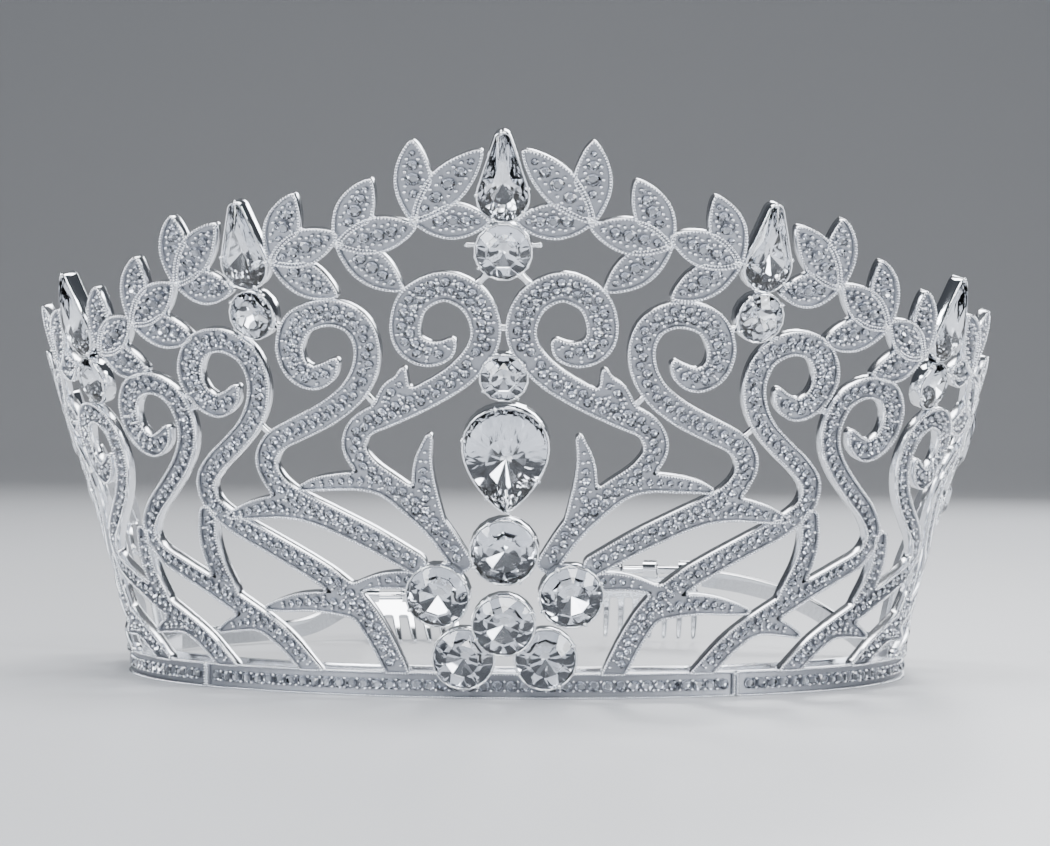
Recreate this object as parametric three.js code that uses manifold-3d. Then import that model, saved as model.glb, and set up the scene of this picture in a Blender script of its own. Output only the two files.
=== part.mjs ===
// A pageant crown: an open-backed ring of cast scrolls, leaf sprays and large stones in cup
// settings, standing on a narrow band, with a hair comb swinging on each rear arm.
//
// Millimetres, +Z up, front towards -Y. The castings are drawn flat, as x = distance along the
// base ring from the front centre and y = height, and are then wrapped onto the flared wall.

import * as THREE from "three";
import { mergeVertices } from "three/addons/utils/BufferGeometryUtils.js";
import Module from "manifold-3d";

const wasm = await Module();
wasm.setup();

// ---------------------------------------------------------------- driving dimensions

// Plan of the base ring, from the front centre backwards: where each arc ends and its radius.
const RING_ARCS = [[47.3, 79], [94, 52], [118, 300], [260, 55]];
const FRONT_Y = -52.55;

// Flare of the wall: upright at the band, then leaning outwards.
const FLARE = 0.32;
const FLARE_START = 7.8;
const FLARE_EASE = 6.5;

// Depths are measured outwards from the middle of the wall.
const WALL_BACK = -1;
const WALL_FRONT = 1.3;
const GAP = 0.3;

const BAND_HEIGHT = 4.2;
const BAND_BACK = -1.3;
const BAND_FRONT = 1.3;
const LEDGE_HEIGHT = 5.1;
const LEDGE_BACK = -1.9;
const BAND_END = 132;
const BAND_JOINT_LEFT = -54;
const BAND_JOINT_RIGHT = 38.5;
const BAND_STEP = 5;

// The castings of the wall start a little above the band.
const FOOT_Z = BAND_HEIGHT + 0.5;
const HALF_WALL_ROOM = [200, 140, 20];
const MITRE_LIMIT = 1.6;
const RIBBON_STEPS = 2;
const LEAF_SEGMENTS = 4;
const NODE_RADIUS = 1;

const CUP_WALL = 0.4;
const CUP_FLOOR = 0.6;
const STONE_REST = 0.4;
const STONE_BACK = 1.2;
const CUP_DEPTH = 2;
const STONE_CROWN = 1.7;
const STONE_BACK_SHARE = 0.55;
const STONE_TABLE_SHARE = 0.58;
const GIRDLE_HALF = 0.15;
const ROUND_SIDES = 12;
const PEAR_SIDES = 16;

const ARM_HEIGHT = 3.6;
const ARM_BACK = -0.6;
const ARM_FRONT = 0.5;
const ARM_END = 181.8;
// Height of each arm's middle line at distances round the ring.
const ARM_PATHS = {
  left: [[BAND_END + GAP, 2.2], [146, 2.2], [160, 2.3], [172, 3.2], [ARM_END, 7.8]],
  right: [[BAND_END + GAP, 2.2], [136, 2.3], [146, 5], [160, 9.4], [172, 11.8], [ARM_END, 13]],
};

// Each rod starts inside its arm and ends near the middle of the back.
const ROD_LAP = 0.8;
const ROD_RADIUS = 0.8;
const ROD_SIDES = 12;
const ROD_FAR_END = 203.8;
const ROD_Z = { left: 8.8, right: 14.4 };

const COMB_WIDTH = 19;
const COMB_SPINE = 4.4;
const COMB_TOOTH_LENGTH = 7.9;
const COMB_TOOTH_WIDTH = 1.2;
const COMB_TEETH = 7;
const COMB_THICKNESS = 0.9;
const KNUCKLE_OUTER = 1.9;
const KNUCKLE_INNER = 1.15;
const KNUCKLE_LENGTH = 2.6;
const KNUCKLE_PLACES = [-0.38, 0, 0.38];
const SPINE_CLEARANCE = 0.2;
// The tips of the teeth curve inwards between these two lines.
const TIP_OUTER = 0.9;
const TIP_INNER = 1.5;
const TOOTH_LAP = 0.5;
const COMB_TILT = { left: THREE.MathUtils.degToRad(47), right: 0 };

// ---------------------------------------------------------------- the pattern, right half

// Each scroll is a set of ribbons, and each ribbon is a list of [along, height, width].
const SCROLL_1 = [
  // curl, neck, bend and stem down to the top stone of the cluster
  [
    [6.9, 57.6, 0.8], [8.2, 56.2, 2.6], [10.3, 55.9, 3.4], [12.3, 57.3, 3.5], [12.8, 60.3, 3.5],
    [11.4, 64.3, 3.7], [7.5, 66.4, 3.9], [3.8, 64.3, 3.7], [2.3, 60.2, 3.4], [3.1, 56.2, 3.3],
    [6.2, 52.3, 3.3], [11, 49, 3.3], [16, 46.5, 3.5], [20, 44.3, 3.1], [21.4, 41, 2.9],
    [19.8, 37.6, 3], [16.4, 34.6, 3.2], [12.7, 31.2, 3.6], [9.6, 27.4, 3.2], [7.2, 23.6, 2.8],
  ],
  // wing reaching out to the next scroll
  [[13.6, 32.2, 2.4], [17, 34.7, 2.8], [21, 35.5, 2.3], [25, 35.3, 2], [28, 34.9, 1.4], [30.2, 34.3, 0.5]],
  // horn beside the large pear stone
  [[10.5, 42.6, 0.4], [11.4, 39.3, 1.7], [11.6, 36, 2.6], [11.3, 33, 3], [10.6, 30.4, 2.6]],
  // thorn standing on the neck
  [[13.6, 54.5, 0.4], [14, 52, 1.8], [14.8, 49.6, 3.6], [15.6, 47.6, 4]],
];

const SCROLL_2 = [
  [
    [23, 54.4, 0.8], [24.4, 52.8, 2.6], [26.4, 52, 3.4], [28.6, 53.4, 3.5], [29.2, 57, 3.6],
    [27.2, 60.9, 3.8], [23, 62.3, 3.8], [19.6, 60.8, 3.5], [18.2, 57.3, 3.2], [18.8, 53.2, 3.2],
    [21, 49.5, 3.3], [24.8, 46.4, 3.4], [29.5, 43.9, 3.3], [33.6, 41.7, 3.1], [35.5, 38.7, 3],
    [34.7, 35.4, 3], [31.8, 32.2, 3.6], [26, 29.2, 3.5], [20, 26.1, 3.3], [14.6, 22.7, 3],
  ],
  [[27, 29.6, 2.6], [31, 30.8, 3.4], [35, 31.1, 3.3], [39, 30.5, 2.6], [41.6, 29.9, 1.6], [43.6, 29.4, 0.5]],
];

const SCROLL_3 = [
  [
    [38.7, 50.2, 0.8], [39.9, 48.5, 2.6], [42.3, 47.4, 3.5], [45, 49.2, 3.9], [45.9, 53, 4],
    [43.8, 56.9, 3.8], [39.8, 58, 3.6], [36.1, 55.9, 3.3], [34.8, 52, 3.1], [35.4, 48, 3.1],
    [37.5, 44.3, 3], [40.9, 41, 3.1], [44.6, 38, 3.1], [47, 35, 3], [46.6, 31.4, 3.1],
    [43.2, 28.3, 3.3], [37.5, 25.2, 3.3], [31.8, 22, 3.4], [27, 18.8, 3.6], [23.2, 15, 3.9],
    [20.3, 10.4, 3.8], [17, 3.4, 3.6],
  ],
  [[23.8, 14.4, 2.6], [28, 15.4, 3.2], [32, 15.5, 2.9], [36, 14.9, 2], [39.2, 14.3, 0.5]],
];

const SCROLL_4 = [
  [
    [52.4, 43.5, 0.8], [53.8, 41.7, 2.8], [56.3, 40.7, 3.8], [59.2, 42.8, 4.2], [59.6, 46.8, 4.2],
    [57.2, 50.2, 3.9], [53.2, 51, 3.5], [49.9, 48.9, 3.3], [48.6, 45, 3.2], [49.2, 41, 3.1],
    [51.6, 37.2, 3.1], [55.3, 33.6, 3.1], [59.6, 30, 3.1], [62.2, 26.4, 3.1], [60.8, 22.9, 3.1],
    [56, 20.4, 3.2], [50.8, 17.8, 3.3], [45.8, 15, 3.5], [40.9, 12, 3.5], [36.4, 8.6, 3.5], [31.6, 3.4, 3.4],
  ],
  // riser from the bend of the scroll before
  [[48, 29.4, 3.2], [48.8, 25.6, 3.6], [48.4, 21.6, 3.7], [46.6, 17, 3.6]],
  [[40, 11.4, 2.4], [43.4, 11.7, 2.8], [46.6, 11.1, 2.2], [49.6, 10, 0.5]],
];

// The rear scrolls repeat the fourth one, each further round and lower.
const REAR_SCROLLS = [
  { along: 16.6, drop: 5 },
  { along: 33.4, drop: 12 },
  { along: 51.5, drop: 24 },
];
const LOWER_PART_TOP = 36;

// Sprays of three leaves: the point where they meet, then the tip of each leaf.
const LEAF_WIDTH = 4.2;
const BRANCHES = [
  [
    { node: [10.8, 76.6], tips: [[10.6, 88.4], [2.6, 87], [1.9, 76.3]] },
    { node: [20.7, 73], tips: [[16, 82.6], [10.9, 75.6], [13.1, 66]] },
    { node: [30, 70.4], tips: [[26, 80.5], [20.9, 74.4], [21.8, 65]] },
  ],
  [
    { node: [45, 67], tips: [[43.8, 77.5], [37.5, 76.2], [36.8, 65.9]] },
    { node: [54.1, 60.8], tips: [[50.9, 71.2], [45.9, 67], [44.6, 58.4]] },
    { node: [62.4, 56.2], tips: [[59.7, 66.6], [54.6, 61.6], [53.9, 53.3]] },
  ],
  [
    { node: [78.3, 54], tips: [[77.2, 64], [71.2, 63.2], [71.4, 54]] },
    { node: [87, 46.6], tips: [[84.8, 56.4], [78.9, 53.2], [77.6, 44.8]] },
    { node: [95, 39.6], tips: [[93.4, 49.2], [87.6, 46.4], [86.6, 37.6]] },
  ],
  [
    { node: [110.6, 35.6], tips: [[109.6, 45], [104.6, 43.6], [103.4, 34.8]] },
    { node: [119, 30.2], tips: [[117.2, 39.2], [111.2, 36.4], [110.4, 27.6]] },
    { node: [126, 23.6], tips: [[126, 32.8], [119.6, 30], [118.8, 20]] },
  ],
];
const TWIG_WIDTH = 1.6;
// Stem from the last spray down to the end of the band.
const END_STEM = [[126, 23.6, 2.2], [128, 18, 2.6], [128.6, 11, 2.8], [129.6, 3.4, 3]];

// Drops: the foot of each is a round stone, with a tapering stone standing on it.
const DROP_SIZE = { width: 7.4, length: 13.8 };
const DROPS = [
  { name: "centre", along: 0, tip: 89.6, radius: 4 },
  { name: "side", along: 34.2, tip: 79.3, radius: 3.5 },
  { name: "shoulder", along: 67.6, tip: 68.8, radius: 3.5 },
  { name: "rear", along: 100.4, tip: 49, radius: 3.5 },
];

const COLUMN_ROUND = { at: [0, 52], radius: 3.4 };
const COLUMN_BRIDGE = [[0, 49.4, 2.4], [0, 47.2, 2.4]];
const COLUMN_PEAR = { top: 47.2, length: 16.4, width: 12.5 };
const DROP_FULLNESS = 1.25;
const PEAR_FULLNESS = 0.7;
const CLUSTER = [
  { name: "top", at: [0, 24.6], radius: 4.8, raise: 0 },
  { name: "left", at: [-10, 17.7], radius: 4.7, raise: 0 },
  { name: "right", at: [10, 17.7], radius: 4.7, raise: 0 },
  { name: "lower_left", at: [-6.3, 7], radius: 4.6, raise: 0 },
  { name: "lower_right", at: [6.3, 7], radius: 4.6, raise: 0 },
  { name: "front", at: [0, 14], radius: 4.6, raise: 3.7 },
];
const CLUSTER_FLOOR = 1.6;
const CLUSTER_PLATE_RADIUS = 6;
const CLUSTER_POST_RADIUS = 3;

// ---------------------------------------------------------------- materials

function plated(roughness) {
  return new THREE.MeshStandardMaterial({ color: 0xd9dce2, metalness: 1, roughness });
}

function crystal() {
  return new THREE.MeshStandardMaterial({ color: 0xeaf0f8, metalness: 0.1, roughness: 0.05 });
}

const PAVE_METAL = plated(0.3);
const PLAIN_METAL = plated(0.18);
const CRYSTAL = crystal();

// ---------------------------------------------------------------- the wall

function flareAt(z) {
  const rise = Math.log(1 + Math.exp((z - FLARE_START) / FLARE_EASE));
  const base = Math.log(1 + Math.exp(-FLARE_START / FLARE_EASE));
  return FLARE * FLARE_EASE * (rise - base);
}

function leanAt(z) {
  return Math.atan(FLARE / (1 + Math.exp(-(z - FLARE_START) / FLARE_EASE)));
}

// Point of the base ring, and the direction it faces, at a distance from the front centre.
function ringAt(along) {
  const side = Math.sign(along);
  const length = Math.abs(along);
  let [x, y, heading, start] = [0, FRONT_Y, 0, 0];
  for (const [end, radius] of RING_ARCS) {
    const turned = heading + (Math.min(length, end) - start) / radius;
    x += radius * (Math.sin(turned) - Math.sin(heading));
    y += radius * (Math.cos(heading) - Math.cos(turned));
    heading = turned;
    start = end;
    if (length <= end) break;
  }
  return { x: side * x, y, heading: side * heading };
}

// A flat point (along, height, depth) placed on the wall.
function onWall(along, z, depth) {
  const ring = ringAt(along);
  const lean = leanAt(z);
  const out = flareAt(z) + depth * Math.cos(lean);
  const x = ring.x + out * Math.sin(ring.heading);
  const y = ring.y - out * Math.cos(ring.heading);
  return new THREE.Vector3(x, y, z - depth * Math.sin(lean));
}

// The same for the upright pieces: the band and the rear arms.
function onRing(along, z, depth) {
  const ring = ringAt(along);
  const x = ring.x + depth * Math.sin(ring.heading);
  const y = ring.y - depth * Math.cos(ring.heading);
  return new THREE.Vector3(x, y, z);
}

// ---------------------------------------------------------------- solids

function solid(geometry) {
  const bare = geometry.clone();
  bare.deleteAttribute("normal");
  bare.deleteAttribute("uv");
  const merged = mergeVertices(bare, 1e-4);
  return new wasm.Manifold(
    new wasm.Mesh({
      numProp: 3,
      vertProperties: merged.attributes.position.array,
      triVerts: new Uint32Array(merged.index.array),
    }),
  );
}

function geometryOf(manifold) {
  const mesh = manifold.getMesh();
  const geometry = new THREE.BufferGeometry();
  geometry.setAttribute("position", new THREE.BufferAttribute(mesh.vertProperties, 3));
  geometry.setIndex(new THREE.BufferAttribute(mesh.triVerts, 1));
  return geometry;
}

function meshOf(vertices, faces) {
  const geometry = new THREE.BufferGeometry();
  geometry.setAttribute("position", new THREE.Float32BufferAttribute(vertices, 3));
  geometry.setIndex(faces);
  return geometry;
}

function joined(solids) {
  return solids.reduce((sum, next) => sum.add(next));
}

// The same geometry for the other half of the crown.
function mirrored(geometry) {
  const copy = geometry.clone().scale(-1, 1, 1);
  const index = copy.index.array;
  for (let i = 0; i < index.length; i += 3) {
    [index[i + 1], index[i + 2]] = [index[i + 2], index[i + 1]];
  }
  return copy;
}

// Moves every vertex (along, height, depth) of a flat solid to its place on the ring or the wall.
function bent(flat, place) {
  const geometry = geometryOf(flat);
  const position = geometry.attributes.position;
  for (let i = 0; i < position.count; i += 1) {
    const point = place(position.getX(i), position.getY(i), position.getZ(i));
    position.setXYZ(i, point.x, point.y, point.z);
  }
  return geometry;
}

function wrapped(flat) {
  return bent(flat, onWall);
}

function slab(shape, back, front) {
  const depth = front - back;
  const settings = { depth, bevelEnabled: false, curveSegments: LEAF_SEGMENTS };
  const geometry = new THREE.ExtrudeGeometry(shape, settings);
  return solid(geometry.translate(0, 0, back));
}

// ---------------------------------------------------------------- flat outlines

// Moves the end of a line further from the point before it.
function lengthen(end, before, extra) {
  const away = new THREE.Vector2(end.x - before.x, end.y - before.y).setLength(extra);
  end.x += away.x;
  end.y += away.y;
}

// A ribbon of changing width along a smooth line, made larger all round by grow. Each station
// along it is four corners, joined to the next station by its back, front and two edges.
function ribbonSolid(path, back, front, grow = 0) {
  const line = new THREE.CatmullRomCurve3(path.map(([x, y, width]) => new THREE.Vector3(x, y, width)));
  const points = line.getPoints((path.length - 1) * RIBBON_STEPS);
  lengthen(points[0], points[1], grow);
  lengthen(points.at(-1), points.at(-2), grow);
  const vertices = [];
  points.forEach((point, i) => {
    const before = points[Math.max(i - 1, 0)];
    const after = points[Math.min(i + 1, points.length - 1)];
    const along = new THREE.Vector2(after.x - before.x, after.y - before.y).normalize();
    const x = along.y * (point.z / 2 + grow);
    const y = -along.x * (point.z / 2 + grow);
    vertices.push(point.x + x, point.y + y, back, point.x - x, point.y - y, back);
    vertices.push(point.x - x, point.y - y, front, point.x + x, point.y + y, front);
  });
  const faces = [0, 2, 1, 0, 3, 2];
  for (let station = 0; station < points.length - 1; station += 1) {
    for (let corner = 0; corner < 4; corner += 1) {
      const a = 4 * station + corner;
      const b = 4 * station + ((corner + 1) % 4);
      faces.push(a, b, b + 4, a, b + 4, a + 4);
    }
  }
  const last = 4 * (points.length - 1);
  faces.push(last, last + 1, last + 2, last, last + 2, last + 3);
  return solid(meshOf(vertices, faces));
}

// A pointed oval between two points.
function leafShape(base, tip, width) {
  const start = new THREE.Vector2(...base);
  const end = new THREE.Vector2(...tip);
  const middle = start.clone().add(end).multiplyScalar(0.5);
  const across = end.clone().sub(start).normalize().rotateAround(new THREE.Vector2(), Math.PI / 2);
  const left = middle.clone().addScaledVector(across, width);
  const right = middle.clone().addScaledVector(across, -width);
  const shape = new THREE.Shape();
  shape.moveTo(start.x, start.y);
  shape.quadraticCurveTo(right.x, right.y, end.x, end.y);
  shape.quadraticCurveTo(left.x, left.y, start.x, start.y);
  return shape;
}

// An outline in its true size, as it is drawn in the pattern: the flare will spread it sideways
// and lean it back.
function inPattern(points, [x, z]) {
  const radius = RING_ARCS.find(([end]) => Math.abs(x) <= end)[1];
  const spread = 1 + flareAt(z) / radius;
  const rise = Math.cos(leanAt(z));
  return points.map((point) => new THREE.Vector2(x + point.x / spread, z + point.y * rise));
}

function circlePoints(centre, radius) {
  const outline = Array.from({ length: ROUND_SIDES }, (_, i) => {
    const turn = (2 * Math.PI * (i + 0.5)) / ROUND_SIDES;
    return new THREE.Vector2(radius * Math.cos(turn), radius * Math.sin(turn));
  });
  return inPattern(outline, centre);
}

// A teardrop, counter-clockwise, with its point at one end of its length. A point that is
// upwards has direction 1 and one that is downwards has direction -1.
function pearPoints(centre, length, width, fullness, direction) {
  const outline = Array.from({ length: PEAR_SIDES }, (_, i) => {
    const turn = (2 * Math.PI * i) / PEAR_SIDES;
    const half = Math.sin(turn) * Math.pow(Math.sin(turn / 2), fullness);
    return new THREE.Vector2(-half * direction, (direction * length * Math.cos(turn)) / 2);
  });
  const widest = Math.max(...outline.map((point) => point.x));
  const sized = outline.map((point) => new THREE.Vector2((point.x * width) / 2 / widest, point.y));
  return inPattern(sized, centre);
}

// A closed counter-clockwise outline made larger all round.
function grown(points, amount) {
  return points.map((point, i) => {
    const before = points.at(i - 1);
    const after = points[(i + 1) % points.length];
    const first = new THREE.Vector2(point.y - before.y, before.x - point.x).normalize();
    const second = new THREE.Vector2(after.y - point.y, point.x - after.x).normalize();
    const outward = first.clone().add(second).normalize();
    const mitre = Math.min(1 / outward.dot(first), MITRE_LIMIT);
    return point.clone().addScaledVector(outward, amount * mitre);
  });
}

// ---------------------------------------------------------------- stones and their cups

// A cut stone from its girdle outline: small table in front, tapering to a smaller back.
function stoneSolid(points, girdle) {
  const centre = points.reduce((sum, p) => sum.add(p), new THREE.Vector2()).divideScalar(points.length);
  const levels = [
    [STONE_BACK_SHARE, girdle - STONE_BACK],
    [1, girdle - GIRDLE_HALF],
    [1, girdle + GIRDLE_HALF],
    [STONE_TABLE_SHARE, girdle + STONE_CROWN],
  ];
  const vertices = [];
  for (const [scale, depth] of levels) {
    for (const point of points) {
      const at = centre.clone().lerp(point, scale);
      vertices.push(at.x, at.y, depth);
    }
  }
  const count = points.length;
  const front = vertices.length / 3;
  vertices.push(centre.x, centre.y, levels[0][1], centre.x, centre.y, levels.at(-1)[1]);
  const faces = [];
  for (let i = 0; i < count; i += 1) {
    const next = (i + 1) % count;
    for (let level = 0; level < levels.length - 1; level += 1) {
      const a = level * count + i;
      const b = level * count + next;
      faces.push(a, b, b + count, a, b + count, a + count);
    }
    const last = (levels.length - 1) * count;
    faces.push(front, next, i, front + 1, last + i, last + next);
  }
  return solid(meshOf(vertices, faces));
}

// A cup with a flat floor that holds a stone of the given outline.
function cup(points, floor) {
  const shell = slab(new THREE.Shape(grown(points, GAP + CUP_WALL)), floor, floor + CUP_DEPTH);
  const hollow = slab(new THREE.Shape(grown(points, GAP)), floor + CUP_FLOOR, floor + CUP_DEPTH + 1);
  return shell.subtract(hollow);
}

function girdleOver(floor) {
  return floor + CUP_FLOOR + STONE_REST + STONE_BACK;
}

function dropPoints(drop) {
  const middle = [drop.along, drop.tip - (DROP_SIZE.length * Math.cos(leanAt(drop.tip))) / 2];
  return pearPoints(middle, DROP_SIZE.length, DROP_SIZE.width, DROP_FULLNESS, 1);
}

// The round stone that the drop stands on, close enough for the two cups to share a wall.
function dropRoundPoints(drop) {
  const between = 2 * GAP + CUP_WALL;
  const z = drop.tip - (DROP_SIZE.length + drop.radius) * Math.cos(leanAt(drop.tip)) - between;
  return circlePoints([drop.along, z], drop.radius);
}

function columnPearPoints() {
  const { top, length, width } = COLUMN_PEAR;
  return pearPoints([0, top - length / 2], length, width, PEAR_FULLNESS, -1);
}

function columnRoundPoints() {
  return circlePoints(COLUMN_ROUND.at, COLUMN_ROUND.radius);
}

function dropSetting(drop) {
  return cup(dropPoints(drop), WALL_BACK).add(cup(dropRoundPoints(drop), WALL_BACK));
}

function columnSetting() {
  const bridge = ribbonSolid(COLUMN_BRIDGE, WALL_BACK, WALL_BACK + CUP_FLOOR);
  return joined([cup(columnPearPoints(), WALL_BACK), cup(columnRoundPoints(), WALL_BACK), bridge]);
}

function clusterSetting() {
  const cups = CLUSTER.map(({ at, radius, raise }) => cup(circlePoints(at, radius), CLUSTER_FLOOR + raise));
  const front = CLUSTER.find(({ raise }) => raise > 0);
  const plate = slab(
    new THREE.Shape(circlePoints(front.at, CLUSTER_PLATE_RADIUS)),
    CLUSTER_FLOOR,
    CLUSTER_FLOOR + CUP_FLOOR,
  );
  const post = slab(
    new THREE.Shape(circlePoints(front.at, CLUSTER_POST_RADIUS)),
    CLUSTER_FLOOR,
    CLUSTER_FLOOR + front.raise + CUP_FLOOR,
  );
  return joined([...cups, plate, post]);
}

// ---------------------------------------------------------------- castings of the wall

// Room that the settings take out of the castings behind and beside them.
function settingRoom() {
  const outlines = [columnRoundPoints(), columnPearPoints()];
  for (const drop of DROPS) {
    outlines.push(dropPoints(drop), dropRoundPoints(drop));
  }
  const room = outlines.map((points) => new THREE.Shape(grown(points, 2 * GAP + CUP_WALL)));
  return joined(room.map((shape) => slab(shape, WALL_BACK - 1, WALL_FRONT + 1)));
}

function scrollSolid(ribbons, grow = 0) {
  const deeper = grow > 0 ? 1 : 0;
  return joined(ribbons.map((path) => ribbonSolid(path, WALL_BACK - deeper, WALL_FRONT + deeper, grow)));
}

// A rear scroll: the curl moves down whole, and the part below it closes up.
function rearScroll({ along, drop }) {
  const room = LOWER_PART_TOP - FOOT_Z;
  const lowered = (z) => (z > LOWER_PART_TOP ? z - drop : FOOT_Z + ((z - FOOT_Z) * (room - drop)) / room);
  return SCROLL_4.map((path) => path.map(([x, z, width]) => [x + along, lowered(z), width]));
}

function branchSolid(sprays) {
  const parts = [];
  for (const { node, tips } of sprays) {
    for (const tip of tips) {
      parts.push(slab(leafShape(node, tip, LEAF_WIDTH), WALL_BACK, WALL_FRONT));
    }
    parts.push(slab(new THREE.Shape(circlePoints(node, NODE_RADIUS)), WALL_BACK, WALL_FRONT));
  }
  const nodes = sprays.map(({ node }) => [...node, TWIG_WIDTH]);
  for (let i = 1; i < nodes.length; i += 1) {
    parts.push(ribbonSolid([nodes[i - 1], nodes[i]], WALL_BACK, WALL_FRONT));
  }
  if (sprays === BRANCHES.at(-1)) {
    parts.push(ribbonSolid(END_STEM, WALL_BACK, WALL_FRONT));
  }
  return joined(parts);
}

// The largest closed body of a solid, without the crumbs that a cut leaves behind.
function mainBody(flat) {
  const pieces = flat.decompose();
  return pieces.reduce((best, next) => (next.volume() > best.volume() ? next : best));
}

// ---------------------------------------------------------------- band, arms and combs

// A stretch of the band: a channel for stones in front of a slightly taller inner ledge.
function bandGeometry(from, to) {
  const profile = new THREE.Shape([
    new THREE.Vector2(-BAND_FRONT, 0),
    new THREE.Vector2(-LEDGE_BACK, 0),
    new THREE.Vector2(-LEDGE_BACK, LEDGE_HEIGHT),
    new THREE.Vector2(-BAND_BACK, LEDGE_HEIGHT),
    new THREE.Vector2(-BAND_BACK, BAND_HEIGHT),
    new THREE.Vector2(-BAND_FRONT, BAND_HEIGHT),
  ]);
  const steps = Math.ceil((to - from) / BAND_STEP);
  const straight = new THREE.ExtrudeGeometry(profile, { depth: to - from, steps, bevelEnabled: false });
  straight.rotateY(Math.PI / 2).translate(from, 0, 0);
  return bent(solid(straight), onRing);
}

function rodEnds(side) {
  const near = ringAt(ARM_END - ROD_LAP);
  const far = ringAt(ROD_FAR_END);
  const z = ROD_Z[side];
  return [new THREE.Vector3(near.x, near.y, z), new THREE.Vector3(far.x, far.y, z)];
}

// A round bar between two points.
function bar(start, end, radius) {
  const length = start.distanceTo(end);
  const geometry = new THREE.CylinderGeometry(radius, radius, length, ROD_SIDES);
  geometry.translate(0, length / 2, 0);
  const direction = end.clone().sub(start).normalize();
  geometry.applyQuaternion(new THREE.Quaternion().setFromUnitVectors(new THREE.Vector3(0, 1, 0), direction));
  return solid(geometry.translate(start.x, start.y, start.z));
}

// A plain strip from the end of the band to the comb, ending in the rod the comb swings on.
function armGeometry(side) {
  const path = ARM_PATHS[side].map(([along, z]) => [along, z, ARM_HEIGHT]);
  const strip = bent(ribbonSolid(path, ARM_BACK, ARM_FRONT), onRing);
  const [near, far] = rodEnds(side);
  return geometryOf(solid(strip).add(bar(near, far, ROD_RADIUS)));
}

// Turns an outline drawn as (inwards, up) and extruded sideways into the comb's own axes.
const TOOTH_TURN = new THREE.Matrix4().makeBasis(
  new THREE.Vector3(0, 1, 0),
  new THREE.Vector3(0, 0, 1),
  new THREE.Vector3(1, 0, 0),
);

// The comb in its own axes: x along the rod, y inwards, z up, with the rod at the origin.
function combSolid() {
  const half = COMB_WIDTH / 2;
  const edge = COMB_THICKNESS / 2;
  const top = -KNUCKLE_INNER - SPINE_CLEARANCE;
  const bottom = top - COMB_SPINE;
  const root = bottom + TOOTH_LAP;
  const tip = bottom - COMB_TOOTH_LENGTH;
  const middle = (bottom + tip) / 2;
  const spine = new THREE.BoxGeometry(COMB_WIDTH, COMB_THICKNESS, COMB_SPINE);
  const parts = [solid(spine.translate(0, 0, (top + bottom) / 2))];
  const outline = new THREE.Shape();
  outline.moveTo(edge, root);
  outline.lineTo(-edge, root);
  outline.quadraticCurveTo(-edge, middle, TIP_OUTER, tip);
  outline.lineTo(TIP_INNER, tip);
  outline.quadraticCurveTo(edge, middle, edge, root);
  const flat = { depth: COMB_TOOTH_WIDTH, bevelEnabled: false, curveSegments: 3 };
  const pitch = (COMB_WIDTH - COMB_TOOTH_WIDTH) / (COMB_TEETH - 1);
  for (let i = 0; i < COMB_TEETH; i += 1) {
    const tooth = new THREE.ExtrudeGeometry(outline, flat);
    tooth.applyMatrix4(TOOTH_TURN);
    parts.push(solid(tooth.translate(-half + i * pitch, 0, 0)));
  }
  const ringShape = new THREE.Shape().absarc(0, 0, KNUCKLE_OUTER, 0, 2 * Math.PI);
  ringShape.holes.push(new THREE.Path().absarc(0, 0, KNUCKLE_INNER, 0, 2 * Math.PI, true));
  for (const place of KNUCKLE_PLACES) {
    const length = { depth: KNUCKLE_LENGTH, bevelEnabled: false, curveSegments: 12 };
    const ring = new THREE.ExtrudeGeometry(ringShape, length);
    ring.translate(0, 0, place * COMB_WIDTH - KNUCKLE_LENGTH / 2).rotateY(Math.PI / 2);
    parts.push(solid(ring));
  }
  return joined(parts);
}

// The comb on the rod of the right half, tilted inwards about it.
function combGeometry(side) {
  const [near, far] = rodEnds(side);
  const along = far.clone().sub(near).normalize();
  const up = new THREE.Vector3(0, 0, 1);
  const inwards = new THREE.Vector3().crossVectors(up, along);
  const turned = new THREE.Matrix4().makeRotationX(COMB_TILT[side]);
  const placed = new THREE.Matrix4().makeBasis(along, inwards, up);
  placed.setPosition(near.clone().lerp(far, 0.5));
  return geometryOf(combSolid()).applyMatrix4(turned).applyMatrix4(placed);
}

// ---------------------------------------------------------------- assembly

const crown = new THREE.Group();

function addMesh(name, geometry, material) {
  const mesh = new THREE.Mesh(geometry, material);
  mesh.name = name;
  crown.add(mesh);
  return mesh;
}

function addPair(name, geometry, material) {
  addMesh(`${name}_right`, geometry, material);
  addMesh(`${name}_left`, mirrored(geometry), material);
}

// The right half of the wall is cut piece by piece, each one clear of those before it.
function addWall() {
  const block = new THREE.BoxGeometry(...HALF_WALL_ROOM);
  const [width, height] = HALF_WALL_ROOM;
  const rightHalf = solid(block.translate(width / 2 + GAP, height / 2 + FOOT_Z, 0));
  const patterns = [SCROLL_1, SCROLL_2, SCROLL_3, SCROLL_4, ...REAR_SCROLLS.map(rearScroll)];
  let taken = settingRoom();
  patterns.forEach((ribbons, i) => {
    const cut = mainBody(scrollSolid(ribbons).subtract(taken).intersect(rightHalf));
    addPair(`scroll_${i + 1}`, wrapped(cut), PAVE_METAL);
    taken = taken.add(scrollSolid(ribbons, GAP));
  });
  BRANCHES.forEach((sprays, i) => {
    const branch = branchSolid(sprays);
    const cut = mainBody(branch.subtract(taken).intersect(rightHalf));
    addPair(`leaf_branch_${i + 1}`, wrapped(cut), PAVE_METAL);
  });
}

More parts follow.
